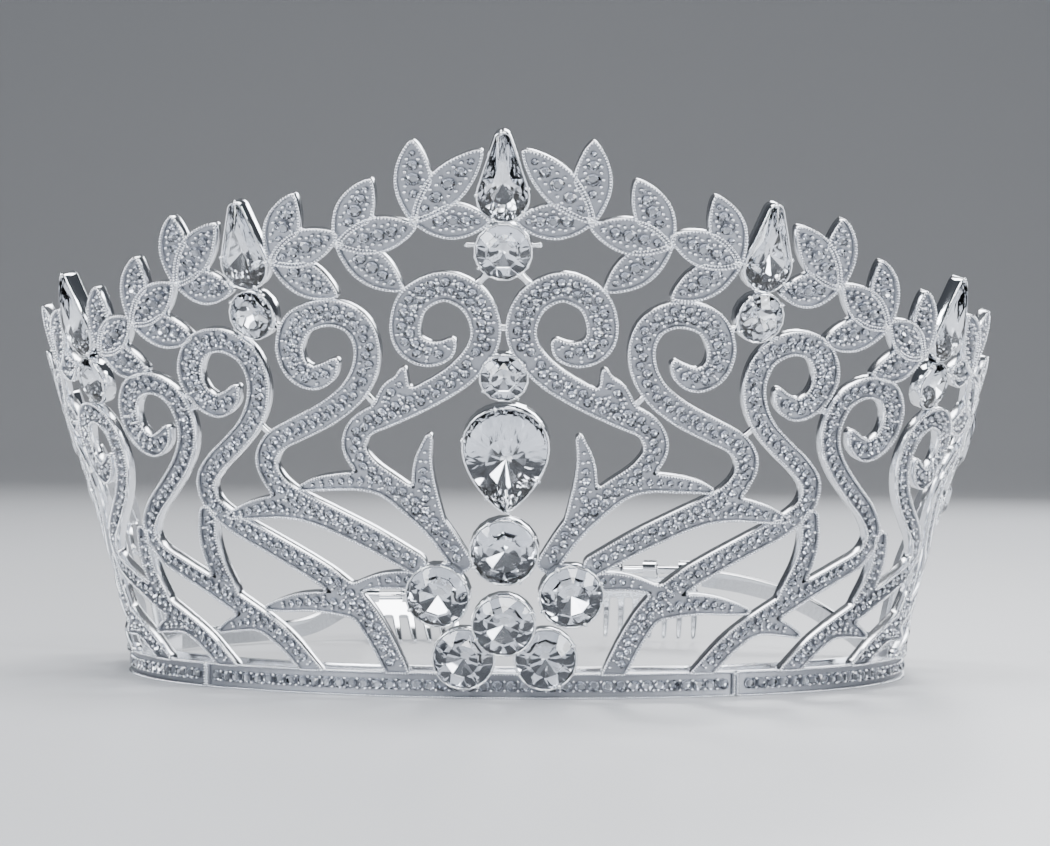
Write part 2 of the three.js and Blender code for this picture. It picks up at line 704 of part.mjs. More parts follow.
function addDrops() {
  const girdle = girdleOver(WALL_BACK);
  for (const drop of DROPS) {
    const add = drop.along === 0 ? addMesh : addPair;
    add(`drop_setting_${drop.name}`, wrapped(dropSetting(drop)), PLAIN_METAL);
    add(`drop_stone_${drop.name}`, wrapped(stoneSolid(dropPoints(drop), girdle)), CRYSTAL);
    add(`round_stone_${drop.name}`, wrapped(stoneSolid(dropRoundPoints(drop), girdle)), CRYSTAL);
  }
}

function addColumnAndCluster() {
  const girdle = girdleOver(WALL_BACK);
  addMesh("column_setting", wrapped(columnSetting()), PLAIN_METAL);
  addMesh("column_pear_stone", wrapped(stoneSolid(columnPearPoints(), girdle)), CRYSTAL);
  addMesh("column_round_stone", wrapped(stoneSolid(columnRoundPoints(), girdle)), CRYSTAL);
  addMesh("cluster_setting", wrapped(clusterSetting()), PLAIN_METAL);
  for (const { name, at, radius, raise } of CLUSTER) {
    const stone = stoneSolid(circlePoints(at, radius), girdleOver(CLUSTER_FLOOR + raise));
    addMesh(`cluster_stone_${name}`, wrapped(stone), CRYSTAL);
  }
}

function addBand() {
  addMesh("band_left", bandGeometry(-BAND_END, BAND_JOINT_LEFT - GAP), PAVE_METAL);
  addMesh("band_front", bandGeometry(BAND_JOINT_LEFT, BAND_JOINT_RIGHT), PAVE_METAL);
  addMesh("band_right", bandGeometry(BAND_JOINT_RIGHT + GAP, BAND_END), PAVE_METAL);
}

function addArmsAndCombs() {
  addMesh("rear_arm_right", armGeometry("right"), PLAIN_METAL);
  addMesh("rear_arm_left", mirrored(armGeometry("left")), PLAIN_METAL);
  addMesh("comb_right", combGeometry("right"), PLAIN_METAL);
  addMesh("comb_left", mirrored(combGeometry("left")), PLAIN_METAL);
}

addBand();
addWall();
addDrops();
addColumnAndCluster();
addArmsAndCombs();

export default crown;
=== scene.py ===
"""The looks of the crown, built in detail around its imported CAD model. Blender 4.5.

Lengths are in millimetres until a piece is made. The castings are drawn flat, as distance along
the base ring, height and depth, and are then placed on the flared wall.
"""

import math

import bpy
import numpy as np
from mathutils import Matrix, Vector
from mathutils.geometry import delaunay_2d_cdt


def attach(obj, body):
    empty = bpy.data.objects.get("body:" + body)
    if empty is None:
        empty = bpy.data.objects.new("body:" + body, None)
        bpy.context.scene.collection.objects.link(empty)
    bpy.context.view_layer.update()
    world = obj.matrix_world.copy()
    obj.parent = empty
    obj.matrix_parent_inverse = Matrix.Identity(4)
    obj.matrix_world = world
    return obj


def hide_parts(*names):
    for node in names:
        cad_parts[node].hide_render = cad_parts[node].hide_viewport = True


# ------------------------------------------------------------------ driving dimensions

# The base ring, from the front centre backwards: where each arc ends and its radius.
RING_ARCS = [(47.3, 79.0), (94.0, 52.0), (118.0, 300.0), (260.0, 55.0)]
FRONT_Y = -52.55

FLARE = 0.32
FLARE_START = 7.8
FLARE_EASE = 6.5

PLATE_BACK = -1.0
PLATE_FRONT = 1.3
CASTING_BACK = -0.35
RIM_WIDTH = 0.4
RIM_OUTSET = 0.4
CHANNEL_FLOOR = 0.72
EDGE_ROUND = 0.1
FIELD_PITCH = 0.2
FAR = 1000.0
LOOP_STEP = 0.3
FILL_STEP = 1.2
FILLET = 0.7

BEAD_STEP = 0.45
BEAD_ACROSS = 0.24
BEAD_ALONG = 0.17
BEAD_HEIGHT = 0.3

PAVE_RADIUS = 0.74
PAVE_SWING = 0.62
PAVE_GAP = 0.04
PAVE_LEAST = 0.42
PAVE_START = 0.9
PAVE_LOOK = 0.3
GRAIN_RADIUS = 0.3
GRAIN_LEAST = 0.13
GRAIN_APART = 0.42
GRAIN_LIFT = 0.25
GRAIN_HEIGHT = 0.5
STONE_LIFT = 0.4
STONE_TILT = 0.12

BAND_HEIGHT = 4.2
BAND_END = 132.0
BAND_JOINTS = (-54.0, 38.5)
BAND_STONE_RADIUS = 0.98
BAND_STONE_STEP = 2.2
BAND_GAP = 0.12
LEDGE_HEIGHT = 5.1
LEDGE_BACK = -1.9
LEDGE_FRONT = -1.3
LEDGE_ROUND = 0.15
LEDGE_STEP = 1.5
FOOT_Z = 4.3

# ------------------------------------------------------------------ the pattern, right half

SCROLLS = {
    1: [
        [
            (6.9, 57.6, 0.8), (8.2, 56.2, 2.6), (10.3, 55.9, 3.4), (12.3, 57.3, 3.5), (12.8, 60.3, 3.5),
            (11.4, 64.3, 3.7), (7.5, 66.4, 3.9), (3.8, 64.3, 3.7), (2.3, 60.2, 3.4), (3.1, 56.2, 3.3),
            (6.2, 52.3, 3.3), (11, 49, 3.3), (16, 46.5, 3.5), (20, 44.3, 3.1), (21.4, 41, 2.9),
            (19.8, 37.6, 3), (16.4, 34.6, 3.2), (12.7, 31.2, 3.6), (9.6, 27.4, 3.2), (6.6, 22.6, 2.8),
        ],
        [
            (13.6, 32.2, 2.4), (17, 34.7, 2.8), (21, 35.5, 2.3), (25, 35.3, 2), (28, 34.9, 1.4),
            (30.2, 34.3, 0.5),
        ],
        [(10.5, 42.6, 0.4), (11.4, 39.3, 1.7), (11.6, 36, 2.6), (11.3, 33, 3), (10.6, 30.4, 2.6)],
        [(13.5, 53.2, 0.3), (14, 51.4, 1.6), (14.8, 49.6, 3.6), (15.6, 47.6, 4)],
    ],
    2: [
        [
            (23, 54.4, 0.8), (24.4, 52.8, 2.6), (26.4, 52, 3.4), (28.6, 53.4, 3.5), (29.2, 57, 3.6),
            (27.2, 60.9, 3.8), (23, 62.3, 3.8), (19.6, 60.8, 3.5), (18.2, 57.3, 3.2), (18.8, 53.2, 3.2),
            (21, 49.5, 3.3), (24.8, 46.4, 3.4), (29.5, 43.9, 3.3), (33.6, 41.7, 3.1), (35.5, 38.7, 3),
            (34.7, 35.4, 3), (31.8, 32.2, 3.6), (26, 29.2, 3.5), (20, 26.1, 3.3), (13.6, 22.2, 3),
        ],
        [
            (27, 29.6, 2.6), (31, 30.8, 3.4), (35, 31.1, 3.3), (39, 30.5, 2.6), (41.6, 29.9, 1.6),
            (43.6, 29.4, 0.5),
        ],
    ],
    3: [
        [
            (38.7, 50.2, 0.8), (39.9, 48.5, 2.6), (42.3, 47.4, 3.5), (45, 49.2, 3.9), (45.9, 53, 4),
            (43.8, 56.9, 3.8), (39.8, 58, 3.6), (36.1, 55.9, 3.3), (34.8, 52, 3.1), (35.4, 48, 3.1),
            (37.5, 44.3, 3), (40.9, 41, 3.1), (44.6, 38, 3.1), (47, 35, 3), (46.6, 31.4, 3.1),
            (43.2, 28.3, 3.3), (37.5, 25.2, 3.3), (31.8, 22, 3.4), (27, 18.8, 3.6), (23.2, 15, 3.9),
            (20.3, 10.4, 3.8), (17, 3.4, 3.6),
        ],
        [(23.8, 14.4, 2.6), (28, 15.4, 3.2), (32, 15.5, 2.9), (36, 14.9, 2), (39.2, 14.3, 0.5)],
        [(12.6, 19.3, 2.6), (16, 19.5, 2.6), (19.5, 19.2, 2), (23.2, 18.2, 1)],
    ],
    4: [
        [
            (52.4, 43.5, 0.8), (53.8, 41.7, 2.8), (56.3, 40.7, 3.8), (59.2, 42.8, 4.2), (59.6, 46.8, 4.2),
            (57.2, 50.2, 3.9), (53.2, 51, 3.5), (49.9, 48.9, 3.3), (48.6, 45, 3.2), (49.2, 41, 3.1),
            (51.6, 37.2, 3.1), (55.3, 33.6, 3.1), (59.6, 30, 3.1), (62.2, 26.4, 3.1), (60.8, 22.9, 3.1),
            (56, 20.4, 3.2), (50.8, 17.8, 3.3), (45.8, 15, 3.5), (40.9, 12, 3.5), (36.4, 8.6, 3.5),
            (31.6, 3.4, 3.4),
        ],
        [(48, 29.4, 3.2), (48.8, 25.6, 3.6), (48.4, 21.6, 3.7), (46.6, 17, 3.6)],
        [(40, 11.4, 2.4), (43.4, 11.7, 2.8), (46.6, 11.1, 2.2), (49.6, 10, 0.5)],
    ],
}
REAR_SCROLLS = {5: (16.6, 5.0), 6: (33.4, 12.0), 7: (51.5, 24.0)}
# Ribbons further round are slimmer than drawn.
RIBBON_TRIMS = {1: 0.95, 2: 0.9, 3: 0.85, 4: 0.77, 5: 0.77, 6: 0.77, 7: 0.77}
LOWER_PART_TOP = 36.0

LEAF_WIDTH = 5.0
LEAF_POINT = 0.8
LEAF_LAP = 0.05
BRANCHES = {
    1: [
        ((10.8, 76.6), [(10.6, 88.4), (2.6, 87), (1.9, 76.3)]),
        ((20.7, 73), [(16, 82.6), (10.9, 75.6), (13.1, 66)]),
        ((30, 70.4), [(26, 80.5), (20.9, 74.4), (21.8, 65)]),
    ],
    2: [
        ((45, 67), [(43.8, 77.5), (37.5, 76.2), (36.8, 65.9)]),
        ((54.1, 60.8), [(50.9, 71.2), (45.9, 67), (44.6, 58.4)]),
        ((62.4, 56.2), [(59.7, 66.6), (54.6, 61.6), (53.9, 53.3)]),
    ],
    3: [
        ((78.3, 54), [(77.2, 64), (71.2, 63.2), (71.4, 54)]),
        ((87, 46.6), [(84.8, 56.4), (78.9, 53.2), (77.6, 44.8)]),
        ((95, 39.6), [(93.4, 49.2), (87.6, 46.4), (86.6, 37.6)]),
    ],
    4: [
        ((110.6, 35.6), [(109.6, 45), (104.6, 43.6), (103.4, 34.8)]),
        ((119, 30.2), [(117.2, 39.2), (111.2, 36.4), (110.4, 27.6)]),
        ((126, 23.6), [(126, 32.8), (119.6, 30), (118.8, 20)]),
    ],
}
END_STEM = [(126, 23.6, 2.2), (128, 18, 2.6), (128.6, 11, 2.8), (129.6, 3.4, 3)]

# Stones: place on the wall, then the real size of the stone with its cup.
DROP_WIDTH = 8.6
DROP_LENGTH = 14.6
DROPS = {
    "centre": (0, 90.0, 4.7),
    "side": (34.2, 79.7, 4.2),
    "shoulder": (67.6, 69.2, 4.2),
    "rear": (100.4, 49.4, 4.2),
}
COLUMN_ROUND = (0, 52.2, 4.0)
COLUMN_PEAR = (0.2, 39.1, 14.1, 17.9)
PEAR_FULLNESS = 0.7
# How much the wall widens and heightens the pattern at those two stones.
COLUMN_ROUND_STRETCH = [1.17, 1.05]
PEAR_STRETCH = [1.13, 1.05]
CLUSTER = {
    "top": (0, 25.0, 5.65, 0),
    "left": (-10, 17.7, 5.35, 0),
    "right": (10, 17.7, 5.35, 0),
    "lower_left": (-6.3, 7.2, 5.2, 0),
    "lower_right": (6.3, 7.2, 5.2, 0),
    "front": (0, 14, 5.2, 3.7),
}
CLUSTER_FLOOR = 1.6
CUP_WALL = 0.35
CUP_EDGE = 0.12
CUP_FLOOR = 0.5
CULET_ROOM = 0.6
DROP_CUP_BACK = PLATE_BACK - 0.4
PEAR_CUP_BACK = PLATE_BACK - 0.9
PRONG_SIZE = (0.55, 0.36, 0.42)
TWIG_KNOT_SIZE = (0.7, 0.7, 0.5)
CLUSTER_POST_RADIUS = 3.0

# Small soldered bridges: ends on the pattern and width.
BRIDGES = [
    ((-2.6, 59.8), (2.6, 59.8), 1.3),
    ((1.9, 68.4), (3.7, 66.2), 1.3),
    ((3.0, 72.6), (4.5, 72.6), 0.8),
    ((31, 70.6), (33, 69.6), 1.1),
    ((30.6, 59.8), (33.2, 61.6), 1.2),
    ((35.6, 61.4), (37.6, 56.4), 1.2),
    ((46, 47.2), (49.6, 46.4), 1.2),
    ((17.2, 46.6), (20.6, 51), 1.2),
    ((33.4, 41.4), (37.4, 45.6), 1.2),
]

# Inset and depth, from the back of a bridge to its front.
BRIDGE_PROFILE = [(0.08, -0.25), (0, -0.17), (0, 0.25), (0.07, 0.4), (0.2, 0.5)]

ARM_HEIGHT = 3.6
ARM_BACK = -0.6
ARM_FRONT = 0.5
ARM_START = 131.0
ARM_END = 181.8
ARM_PATHS = {
    "left": [(ARM_START, 2.2), (146, 2.2), (160, 2.3), (172, 3.2), (ARM_END, 7.8)],
    "right": [(ARM_START, 2.2), (136, 2.3), (146, 5), (160, 9.4), (172, 11.8), (ARM_END, 13)],
}
ROD_RADIUS = 0.8
ROD_LAP = 0.8
ROD_FAR_END = 203.8
ROD_Z = {"left": 8.8, "right": 14.4}
COMB_TILT = {"left": math.radians(47), "right": 0.0}
COMB_WIDTH = 19.0
COMB_SPINE = 4.4
COMB_TOOTH_LENGTH = 7.9
COMB_TOOTH_WIDTH = 1.2
COMB_TEETH = 7
TOOTH_ENDS = (1.45, 0.8)
TOOTH_FILLET = 0.35
TOOTH_CURVE = 1.2
COMB_THICKNESS = 0.9
COMB_CORNER = 0.4
COMB_EDGE = 0.2
KNUCKLE_OUTER = 1.9
KNUCKLE_INNER = 1.15
KNUCKLE_LENGTH = 2.6
KNUCKLE_PLACES = (-0.38, 0, 0.38)


# ------------------------------------------------------------------ the wall


def flare_at(z):
    rise = np.log1p(np.exp((z - FLARE_START) / FLARE_EASE))
    return FLARE * FLARE_EASE * (rise - math.log1p(math.exp(-FLARE_START / FLARE_EASE)))


def lean_at(z):
    return np.arctan(FLARE / (1 + np.exp(-(z - FLARE_START) / FLARE_EASE)))


def ring_at(along):
    """x, y and heading of the base ring at distances from the front centre."""
    side = np.sign(along)
    length = np.abs(along)
    x, y, heading = np.zeros(length.shape), np.full(length.shape, FRONT_Y), np.zeros(length.shape)
    start = 0.0
    for end, radius in RING_ARCS:
        turned = heading + (np.clip(length, start, end) - start) / radius
        x = x + radius * (np.sin(turned) - np.sin(heading))
        y = y + radius * (np.cos(heading) - np.cos(turned))
        heading, start = turned, end
    return side * x, y, side * heading


def bend_radius(along):
    return next(radius for end, radius in RING_ARCS if abs(along) <= end)


def on_wall(points):
    """Places flat points (along, height, depth) on the flared wall."""
    along, z, depth = np.asarray(points, float).T
    x, y, heading = ring_at(along)
    lean = lean_at(z)
    out = flare_at(z) + depth * np.cos(lean)
    return np.stack([x + out * np.sin(heading), y - out * np.cos(heading), z - depth * np.sin(lean)], 1)


def on_ring(points):
    """Places flat points on the upright ring of the band and arms."""
    along, z, depth = np.asarray(points, float).T
    x, y, heading = ring_at(along)
    return np.stack([x + depth * np.sin(heading), y - depth * np.cos(heading), z], 1)


def wall_frame(along, z, depth=0.0):
    """A rigid seat on the wall: columns sideways, up the wall and outwards, then the place."""
    step = 0.01
    here, side, up = on_wall([(along, z, depth), (along + step, z, depth), (along, z + step, depth)])
    x = (side - here) / np.linalg.norm(side - here)
    y = up - here - x * np.dot(up - here, x)
    y /= np.linalg.norm(y)
    return np.array([x, y, np.cross(x, y)]), here


def seated(points, along, z, depth=0.0):
    axes, origin = wall_frame(along, z, depth)
    return np.asarray(points) @ axes + origin


# ------------------------------------------------------------------ collecting faces


class Shape:
    """Points, faces, face kinds and smooth flags of one piece."""

    def __init__(self):
        self.points = []
        self.faces = []
        self.kinds = []
        self.smooth = []
        self.count = 0

    def add(self, points, faces, kind=0, smooth=False):
        self.points.append(np.asarray(points, float))
        self.faces.extend([[i + self.count for i in face] for face in faces])
        kinds = kind if isinstance(kind, list) else [kind] * len(faces)
        self.kinds.extend(kinds)
        self.smooth.extend([smooth] * len(faces))
        self.count += len(points)

    def placed(self, place):
        """The same faces with their points moved by a function."""
        moved = Shape()
        moved.points = [place(np.concatenate(self.points))] if self.points else []
        moved.faces, moved.kinds, moved.smooth = self.faces, self.kinds, self.smooth
        moved.count = self.count
        return moved

    def extend(self, other):
        self.points.extend(other.points)
        self.faces.extend([[i + self.count for i in face] for face in other.faces])
        self.kinds.extend(other.kinds)
        self.smooth.extend(other.smooth)
        self.count += other.count


def make_piece(name, shape, materials, body, replaces=(), mirrored=False):
    points = np.concatenate(shape.points) * 0.001
    faces = shape.faces
    if mirrored:
        points = points * np.array([-1, 1, 1])
        faces = [face[::-1] for face in faces]
    mesh = bpy.data.meshes.new(name)
    mesh.from_pydata(points.tolist(), [], faces)
    for material in materials:
        mesh.materials.append(material)
    mesh.polygons.foreach_set("material_index", shape.kinds)
    mesh.polygons.foreach_set("use_smooth", shape.smooth)
    mesh.validate()
    mesh.update()
    piece = bpy.data.objects.new(name, mesh)
    bpy.context.scene.collection.objects.link(piece)
    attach(piece, body)
    if replaces:
        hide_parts(*replaces)
    return piece


# ------------------------------------------------------------------ outlines from distance fields


def smooth_line(path, steps=4):
    """A Catmull-Rom line through points of any dimension."""
    points = np.asarray(path, float)
    padded = np.vstack([2 * points[0] - points[1], points, 2 * points[-1] - points[-2]])
    line = []
    for i in range(1, len(padded) - 2):
        p0, p1, p2, p3 = padded[i - 1 : i + 3]
        for k in range(steps):
            t = k / steps
            line.append(
                0.5 * (2 * p1 + (p2 - p0) * t + (2 * p0 - 5 * p1 + 4 * p2 - p3) * t**2
                       + (3 * p1 - p0 - 3 * p2 + p3) * t**3)
            )
    line.append(points[-1])
    return np.array(line)


def inside_loops(x, z, loops):
    """Which spots lie inside an odd number of loops."""
    inside = np.zeros(x.shape, bool)
    for loop in loops:
        for (x0, z0), (x1, z1) in zip(loop, np.roll(loop, -1, axis=0)):
            if z0 != z1:
                crosses = (z0 > z) != (z1 > z)
                inside ^= crosses & (x < x0 + (z - z0) * (x1 - x0) / (z1 - z0))
    return inside


class Field:
    """A grid over part of the pattern, for signed distances that are negative inside."""

    def __init__(self, low, high, pitch=FIELD_PITCH):
        self.low = np.array(low, float)
        self.pitch = pitch
        nx, nz = np.ceil((np.array(high) - low) / pitch).astype(int) + 1
        self.x = self.low[0] + np.arange(nx) * pitch
        self.z = self.low[1] + np.arange(nz) * pitch
        self.gx, self.gz = np.meshgrid(self.x, self.z, indexing="ij")

    def segment(self, x0, z0, x1, z1):
        """Distance to a segment, and the share along it of the nearest point."""
        dx, dz = x1 - x0, z1 - z0
        share = ((self.gx - x0) * dx + (self.gz - z0) * dz) / max(dx * dx + dz * dz, 1e-9)
        share = np.clip(share, 0, 1)
        return np.hypot(self.gx - x0 - share * dx, self.gz - z0 - share * dz), share

    def ribbon(self, path):
        """Distance to a smooth line of points with a width each."""
        line = smooth_line(path)
        best = np.full(self.gx.shape, FAR)
        for (x0, z0, w0), (x1, z1, w1) in zip(line[:-1], line[1:]):
            gap, share = self.segment(x0, z0, x1, z1)
            best = np.minimum(best, gap - (w0 + (w1 - w0) * share) / 2)
        return best

    def polygon(self, loop):
        """Distance to a closed loop."""
        best = np.full(self.gx.shape, FAR)
        for (x0, z0), (x1, z1) in zip(loop, np.roll(loop, -1, axis=0)):
            best = np.minimum(best, self.segment(x0, z0, x1, z1)[0])
        return np.where(inside_loops(self.gx, self.gz, [loop]), -best, best)


def blended(a, b, ease=FILLET):
    """The union of two fields with a small fillet where they meet."""
    h = np.clip(0.5 + 0.5 * (b - a) / ease, 0, 1)
    return b + (a - b) * h - ease * h * (1 - h)


def value_at(field, values, points):
    """Interpolated field values at pattern points."""
    place = (np.asarray(points) - field.low) / field.pitch
    i = np.clip(np.floor(place).astype(int), 0, np.array(values.shape) - 2)
    f = place - i
    a = values[i[:, 0], i[:, 1]] * (1 - f[:, 0]) + values[i[:, 0] + 1, i[:, 1]] * f[:, 0]
    b = values[i[:, 0], i[:, 1] + 1] * (1 - f[:, 0]) + values[i[:, 0] + 1, i[:, 1] + 1] * f[:, 0]
    return a * (1 - f[:, 1]) + b * f[:, 1]


# For each cell case, the pairs of crossed edges: 0 bottom, 1 right, 2 top, 3 left.
CELL_CASES = {
    1: [(3, 0)], 2: [(0, 1)], 3: [(3, 1)], 4: [(1, 2)], 5: [(3, 0), (1, 2)], 6: [(0, 2)], 7: [(3, 2)],
    8: [(2, 3)], 9: [(2, 0)], 10: [(0, 1), (2, 3)], 11: [(2, 1)], 12: [(1, 3)], 13: [(1, 0)], 14: [(0, 3)],
}


def contours(field, values, level=0.0):
    """Closed loops where the field crosses a level, counter-clockwise round what is inside."""
    v = values - level
    inside = v < 0
    code = (inside[:-1, :-1] * 1 + inside[1:, :-1] * 2 + inside[1:, 1:] * 4 + inside[:-1, 1:] * 8)
    onward = {}
    for i, j in zip(*np.nonzero((code > 0) & (code < 15))):
        edges = [("h", i, j), ("v", i + 1, j), ("h", i, j + 1), ("v", i, j)]
        for first, second in CELL_CASES[int(code[i, j])]:
            onward[edges[first]] = edges[second]

    def crossing(edge):
        kind, i, j = edge
        di, dj = (1, 0) if kind == "h" else (0, 1)
        a, b = v[i, j], v[i + di, j + dj]
        t = a / (a - b)
        return (field.x[i] + di * t * field.pitch, field.z[j] + dj * t * field.pitch)

    loops = []
    while onward:
        start, edge = onward.popitem()
        loop = [crossing(start)]
        while edge != start and edge in onward:
            loop.append(crossing(edge))
            edge = onward.pop(edge)
        if len(loop) > 8:
            loops.append(np.array(loop[::-1]))
    return loops


def signed_area(loop):
    x, z = loop[:, 0], loop[:, 1]
    return 0.5 * np.sum(x * np.roll(z, -1) - np.roll(x, -1) * z)


def evened(loop, step=LOOP_STEP, rounds=1):
    """The loop with points at an even spacing, and grid ripple smoothed out."""
    for _ in range(rounds):
        loop = 0.5 * loop + 0.25 * (np.roll(loop, 1, axis=0) + np.roll(loop, -1, axis=0))
    closed = np.vstack([loop, loop[:1]])
    length = np.concatenate([[0], np.cumsum(np.hypot(*np.diff(closed, axis=0).T))])
    count = max(8, int(round(length[-1] / step)))
    at = np.arange(count) * length[-1] / count
    return np.stack([np.interp(at, length, closed[:, k]) for k in range(2)], 1)


def inward_normals(loop):
    along = np.roll(loop, -1, axis=0) - np.roll(loop, 1, axis=0)
    along /= np.maximum(np.linalg.norm(along, axis=1, keepdims=True), 1e-9)
    return np.stack([-along[:, 1], along[:, 0]], 1)


def filled(loops, step=FILL_STEP):
    """Triangles that fill the loops, with a loose grid of points inside them."""
    points = [tuple(p) for loop in loops for p in loop]
    edges = []
    start = 0
    for loop in loops:
        count = len(loop)
        edges.extend([(start + i, start + (i + 1) % count) for i in range(count)])
        start += count
    low = np.min(np.concatenate(loops), axis=0)
    high = np.max(np.concatenate(loops), axis=0)
    for x in np.arange(low[0] + step / 3, high[0], step):
        for z in np.arange(low[1] + step / 3, high[1], step):
            points.append((x, z))
    made = delaunay_2d_cdt([Vector(p) for p in points], edges, [], 1, 1e-5)
    points = np.array([tuple(p) for p in made[0]])
    faces = [list(face) for face in made[2]]
    x, z = np.array([points[face].mean(0) for face in faces]).T
    return points, [face for face, keep in zip(faces, inside_loops(x, z, loops)) if keep]


def flat_fill(shape, loops, depth, facing_front, kind=0):
    points, faces = filled(loops)
    if not facing_front:
        faces = [face[::-1] for face in faces]
    shape.add(np.column_stack([points, np.full(len(points), depth)]), faces, kind)


def wall_of_loop(shape, loop, profile, painted_shade_from=None):
    """Sweeps a profile of (inset, depth) steps round a closed loop. Its last steps may be dark, as painted
    shade.
    """
    normals = inward_normals(loop)
    count = len(loop)
    rings = [np.column_stack([loop + normals * inset, np.full(count, depth)]) for inset, depth in profile]
    faces, kinds = [], []
    for ring in range(len(profile) - 1):
        kind = 1 if painted_shade_from is not None and ring >= painted_shade_from else 0
        for i in range(count):
            a = ring * count + i
            b = ring * count + (i + 1) % count
            faces.append([a, b, b + count, a + count])
            kinds.append(kind)
    shape.add(np.concatenate(rings), faces, kinds, True)


# ------------------------------------------------------------------ beads and small stones


def dome(sides=6):
    """A small bead: two rings and a top."""
    points = []
    for ring, (radius, height) in enumerate([(1.0, -0.2), (0.78, 0.6)]):
        for i in range(sides):
            turn = 2 * math.pi * (i + 0.5 * ring) / sides
            points.append((radius * math.cos(turn), radius * math.sin(turn), height))
    points.append((0, 0, 1))
    faces = []
    for i in range(sides):
        j = (i + 1) % sides
        faces.append([i, j, sides + i])
        faces.append([j, sides + j, sides + i])
        faces.append([sides + i, sides + j, 2 * sides])
    return np.array(points, float), faces


def small_stone(sides=8):
    """A round cut stone of radius 1: table, crown and pavilion."""
    points = []
    for radius, height, turn in [(0.56, 0.36, 0.5), (0.98, 0.05, 0.0), (0.98, -0.05, 0.0)]:
        for i in range(sides):
            angle = 2 * math.pi * (i + turn) / sides
            points.append((radius * math.cos(angle), radius * math.sin(angle), height))
    points.append((0, 0, -0.7))
    faces = [list(range(sides))]
    kinds = [0]
    for i in range(sides):
        j = (i + 1) % sides
        faces.append([sides + i, sides + j, i])
        faces.append([sides + j, j, i])
        faces.append([2 * sides + i, 2 * sides + j, sides + j, sides + i])
        faces.append([3 * sides, 2 * sides + j, 2 * sides + i])
        kinds.extend([0, 0, 0, 1])
    return np.array(points, float), faces, kinds


DOME = dome()
SMALL_STONE = small_stone()


def scatter(shape, seats):
    """Copies smooth beads to seats of (x, z, depth, turn, size along x, size along y, height)."""
    points, faces = DOME
    for x, z, depth, turn, sx, sy, sz in seats:
        c, s = math.cos(turn), math.sin(turn)
        px, py = points[:, 0] * sx, points[:, 1] * sy
        placed = np.column_stack([x + px * c - py * s, z + px * s + py * c, depth + points[:, 2] * sz])
        shape.add(placed, faces, 0, True)


def milgrain(shape, loop, depth):
    """A row of beads along the middle of a rim."""
    line = evened(loop + inward_normals(loop) * RIM_WIDTH * 0.5, BEAD_STEP, 0)
    along = np.roll(line, -1, axis=0) - np.roll(line, 1, axis=0)
    turns = np.arctan2(along[:, 1], along[:, 0])
    seats = [
        (x, z, depth, turn, BEAD_ALONG, BEAD_ACROSS, BEAD_HEIGHT)
        for (x, z), turn in zip(line, turns)
    ]
    scatter(shape, seats)


def plate(shape, loops, back):
    """The metal of a casting: rounded rim, side wall and back."""
    front = PLATE_FRONT
    for loop in loops:
        profile = [
            (EDGE_ROUND, back),
            (0, back + EDGE_ROUND),
            (0, front - EDGE_ROUND),
            (EDGE_ROUND * 0.4, front - EDGE_ROUND * 0.3),
            (EDGE_ROUND, front),
            (RIM_WIDTH, front - 0.05),
            (RIM_WIDTH + 0.05, CHANNEL_FLOOR - 0.1),
        ]
        # From the rim top inwards and down into the channel, the faces take kind 1, the darker material:
        # painted shade.
        wall_of_loop(shape, loop, profile, 4)
    flat_fill(shape, [loop + inward_normals(loop) * EDGE_ROUND for loop in loops], back, False, 2)


def channelled_plate(field, values, shape, back=CASTING_BACK, outset=RIM_OUTSET):
    """A casting with a recessed channel and a beaded rim, added to a shape."""
    outer = [evened(loop) for loop in contours(field, values, outset) if abs(signed_area(loop)) > 1.0]
    plate(shape, outer, back)
    inner = [evened(loop) for loop in contours(field, values, outset - RIM_WIDTH * 0.8)]
    inner = [loop for loop in inner if abs(signed_area(loop)) > 0.4]
    if inner:
        # The channel floor takes kind 1, the darker material: painted shade between the stones.
        flat_fill(shape, inner, CHANNEL_FLOOR, True, 1)
    rim = [loop for loop in outer if len(loop) > 12]
    for loop in rim:
        milgrain(shape, loop, PLATE_FRONT - 0.02)


def pave_along(path, field, values, taken, rng):
    """Seats of small stones in a zigzag along a ribbon, clear of the rim and of each other."""
    line = smooth_line(path, 8)
    step = np.concatenate([[0], np.cumsum(np.hypot(*np.diff(line[:, :2], axis=0).T))])
    seats, grains = [], []
    at = PAVE_START
    side = 1
    while at < step[-1]:
        x, z, width = (np.interp(at, step, line[:, k]) for k in range(3))
        ahead = min(at + PAVE_LOOK, step[-1])
        behind = ahead - 2 * PAVE_LOOK
        dx = np.interp(ahead, step, line[:, 0]) - np.interp(behind, step, line[:, 0])
        dz = np.interp(ahead, step, line[:, 1]) - np.interp(behind, step, line[:, 1])
        length = max(math.hypot(dx, dz), 1e-6)
        nx, nz = -dz / length, dx / length
        room = width / 2 - RIM_WIDTH
        swing = min(PAVE_SWING, max(room - PAVE_RADIUS, 0))
        spot = np.array([x + nx * swing * side, z + nz * swing * side])
        inside = -value_at(field, values, [spot])[0] - RIM_WIDTH
        near = min((math.hypot(spot[0] - a, spot[1] - b) - c for a, b, c in taken), default=9.0)
        radius = min(PAVE_RADIUS, inside - 0.02, near - 0.02)
        if radius > PAVE_LEAST:
            seats.append((spot[0], spot[1], radius, rng.uniform(0, math.pi)))
            taken.append((spot[0], spot[1], radius))
        reach = min(max(room - 0.1, 0.2), 1.2)
        for grain_at in (-reach, reach):
            grains.append((x + nx * grain_at, z + nz * grain_at))
        grains.append((x - nx * swing * side, z - nz * swing * side))
        spacing = math.sqrt(max((2 * PAVE_RADIUS) ** 2 - (2 * swing) ** 2, PAVE_RADIUS**2))
        at += spacing + PAVE_GAP
        side = -side
    grains = [spot for spot in grains if -value_at(field, values, [spot])[0] > RIM_WIDTH + 0.08]
    return seats, grains


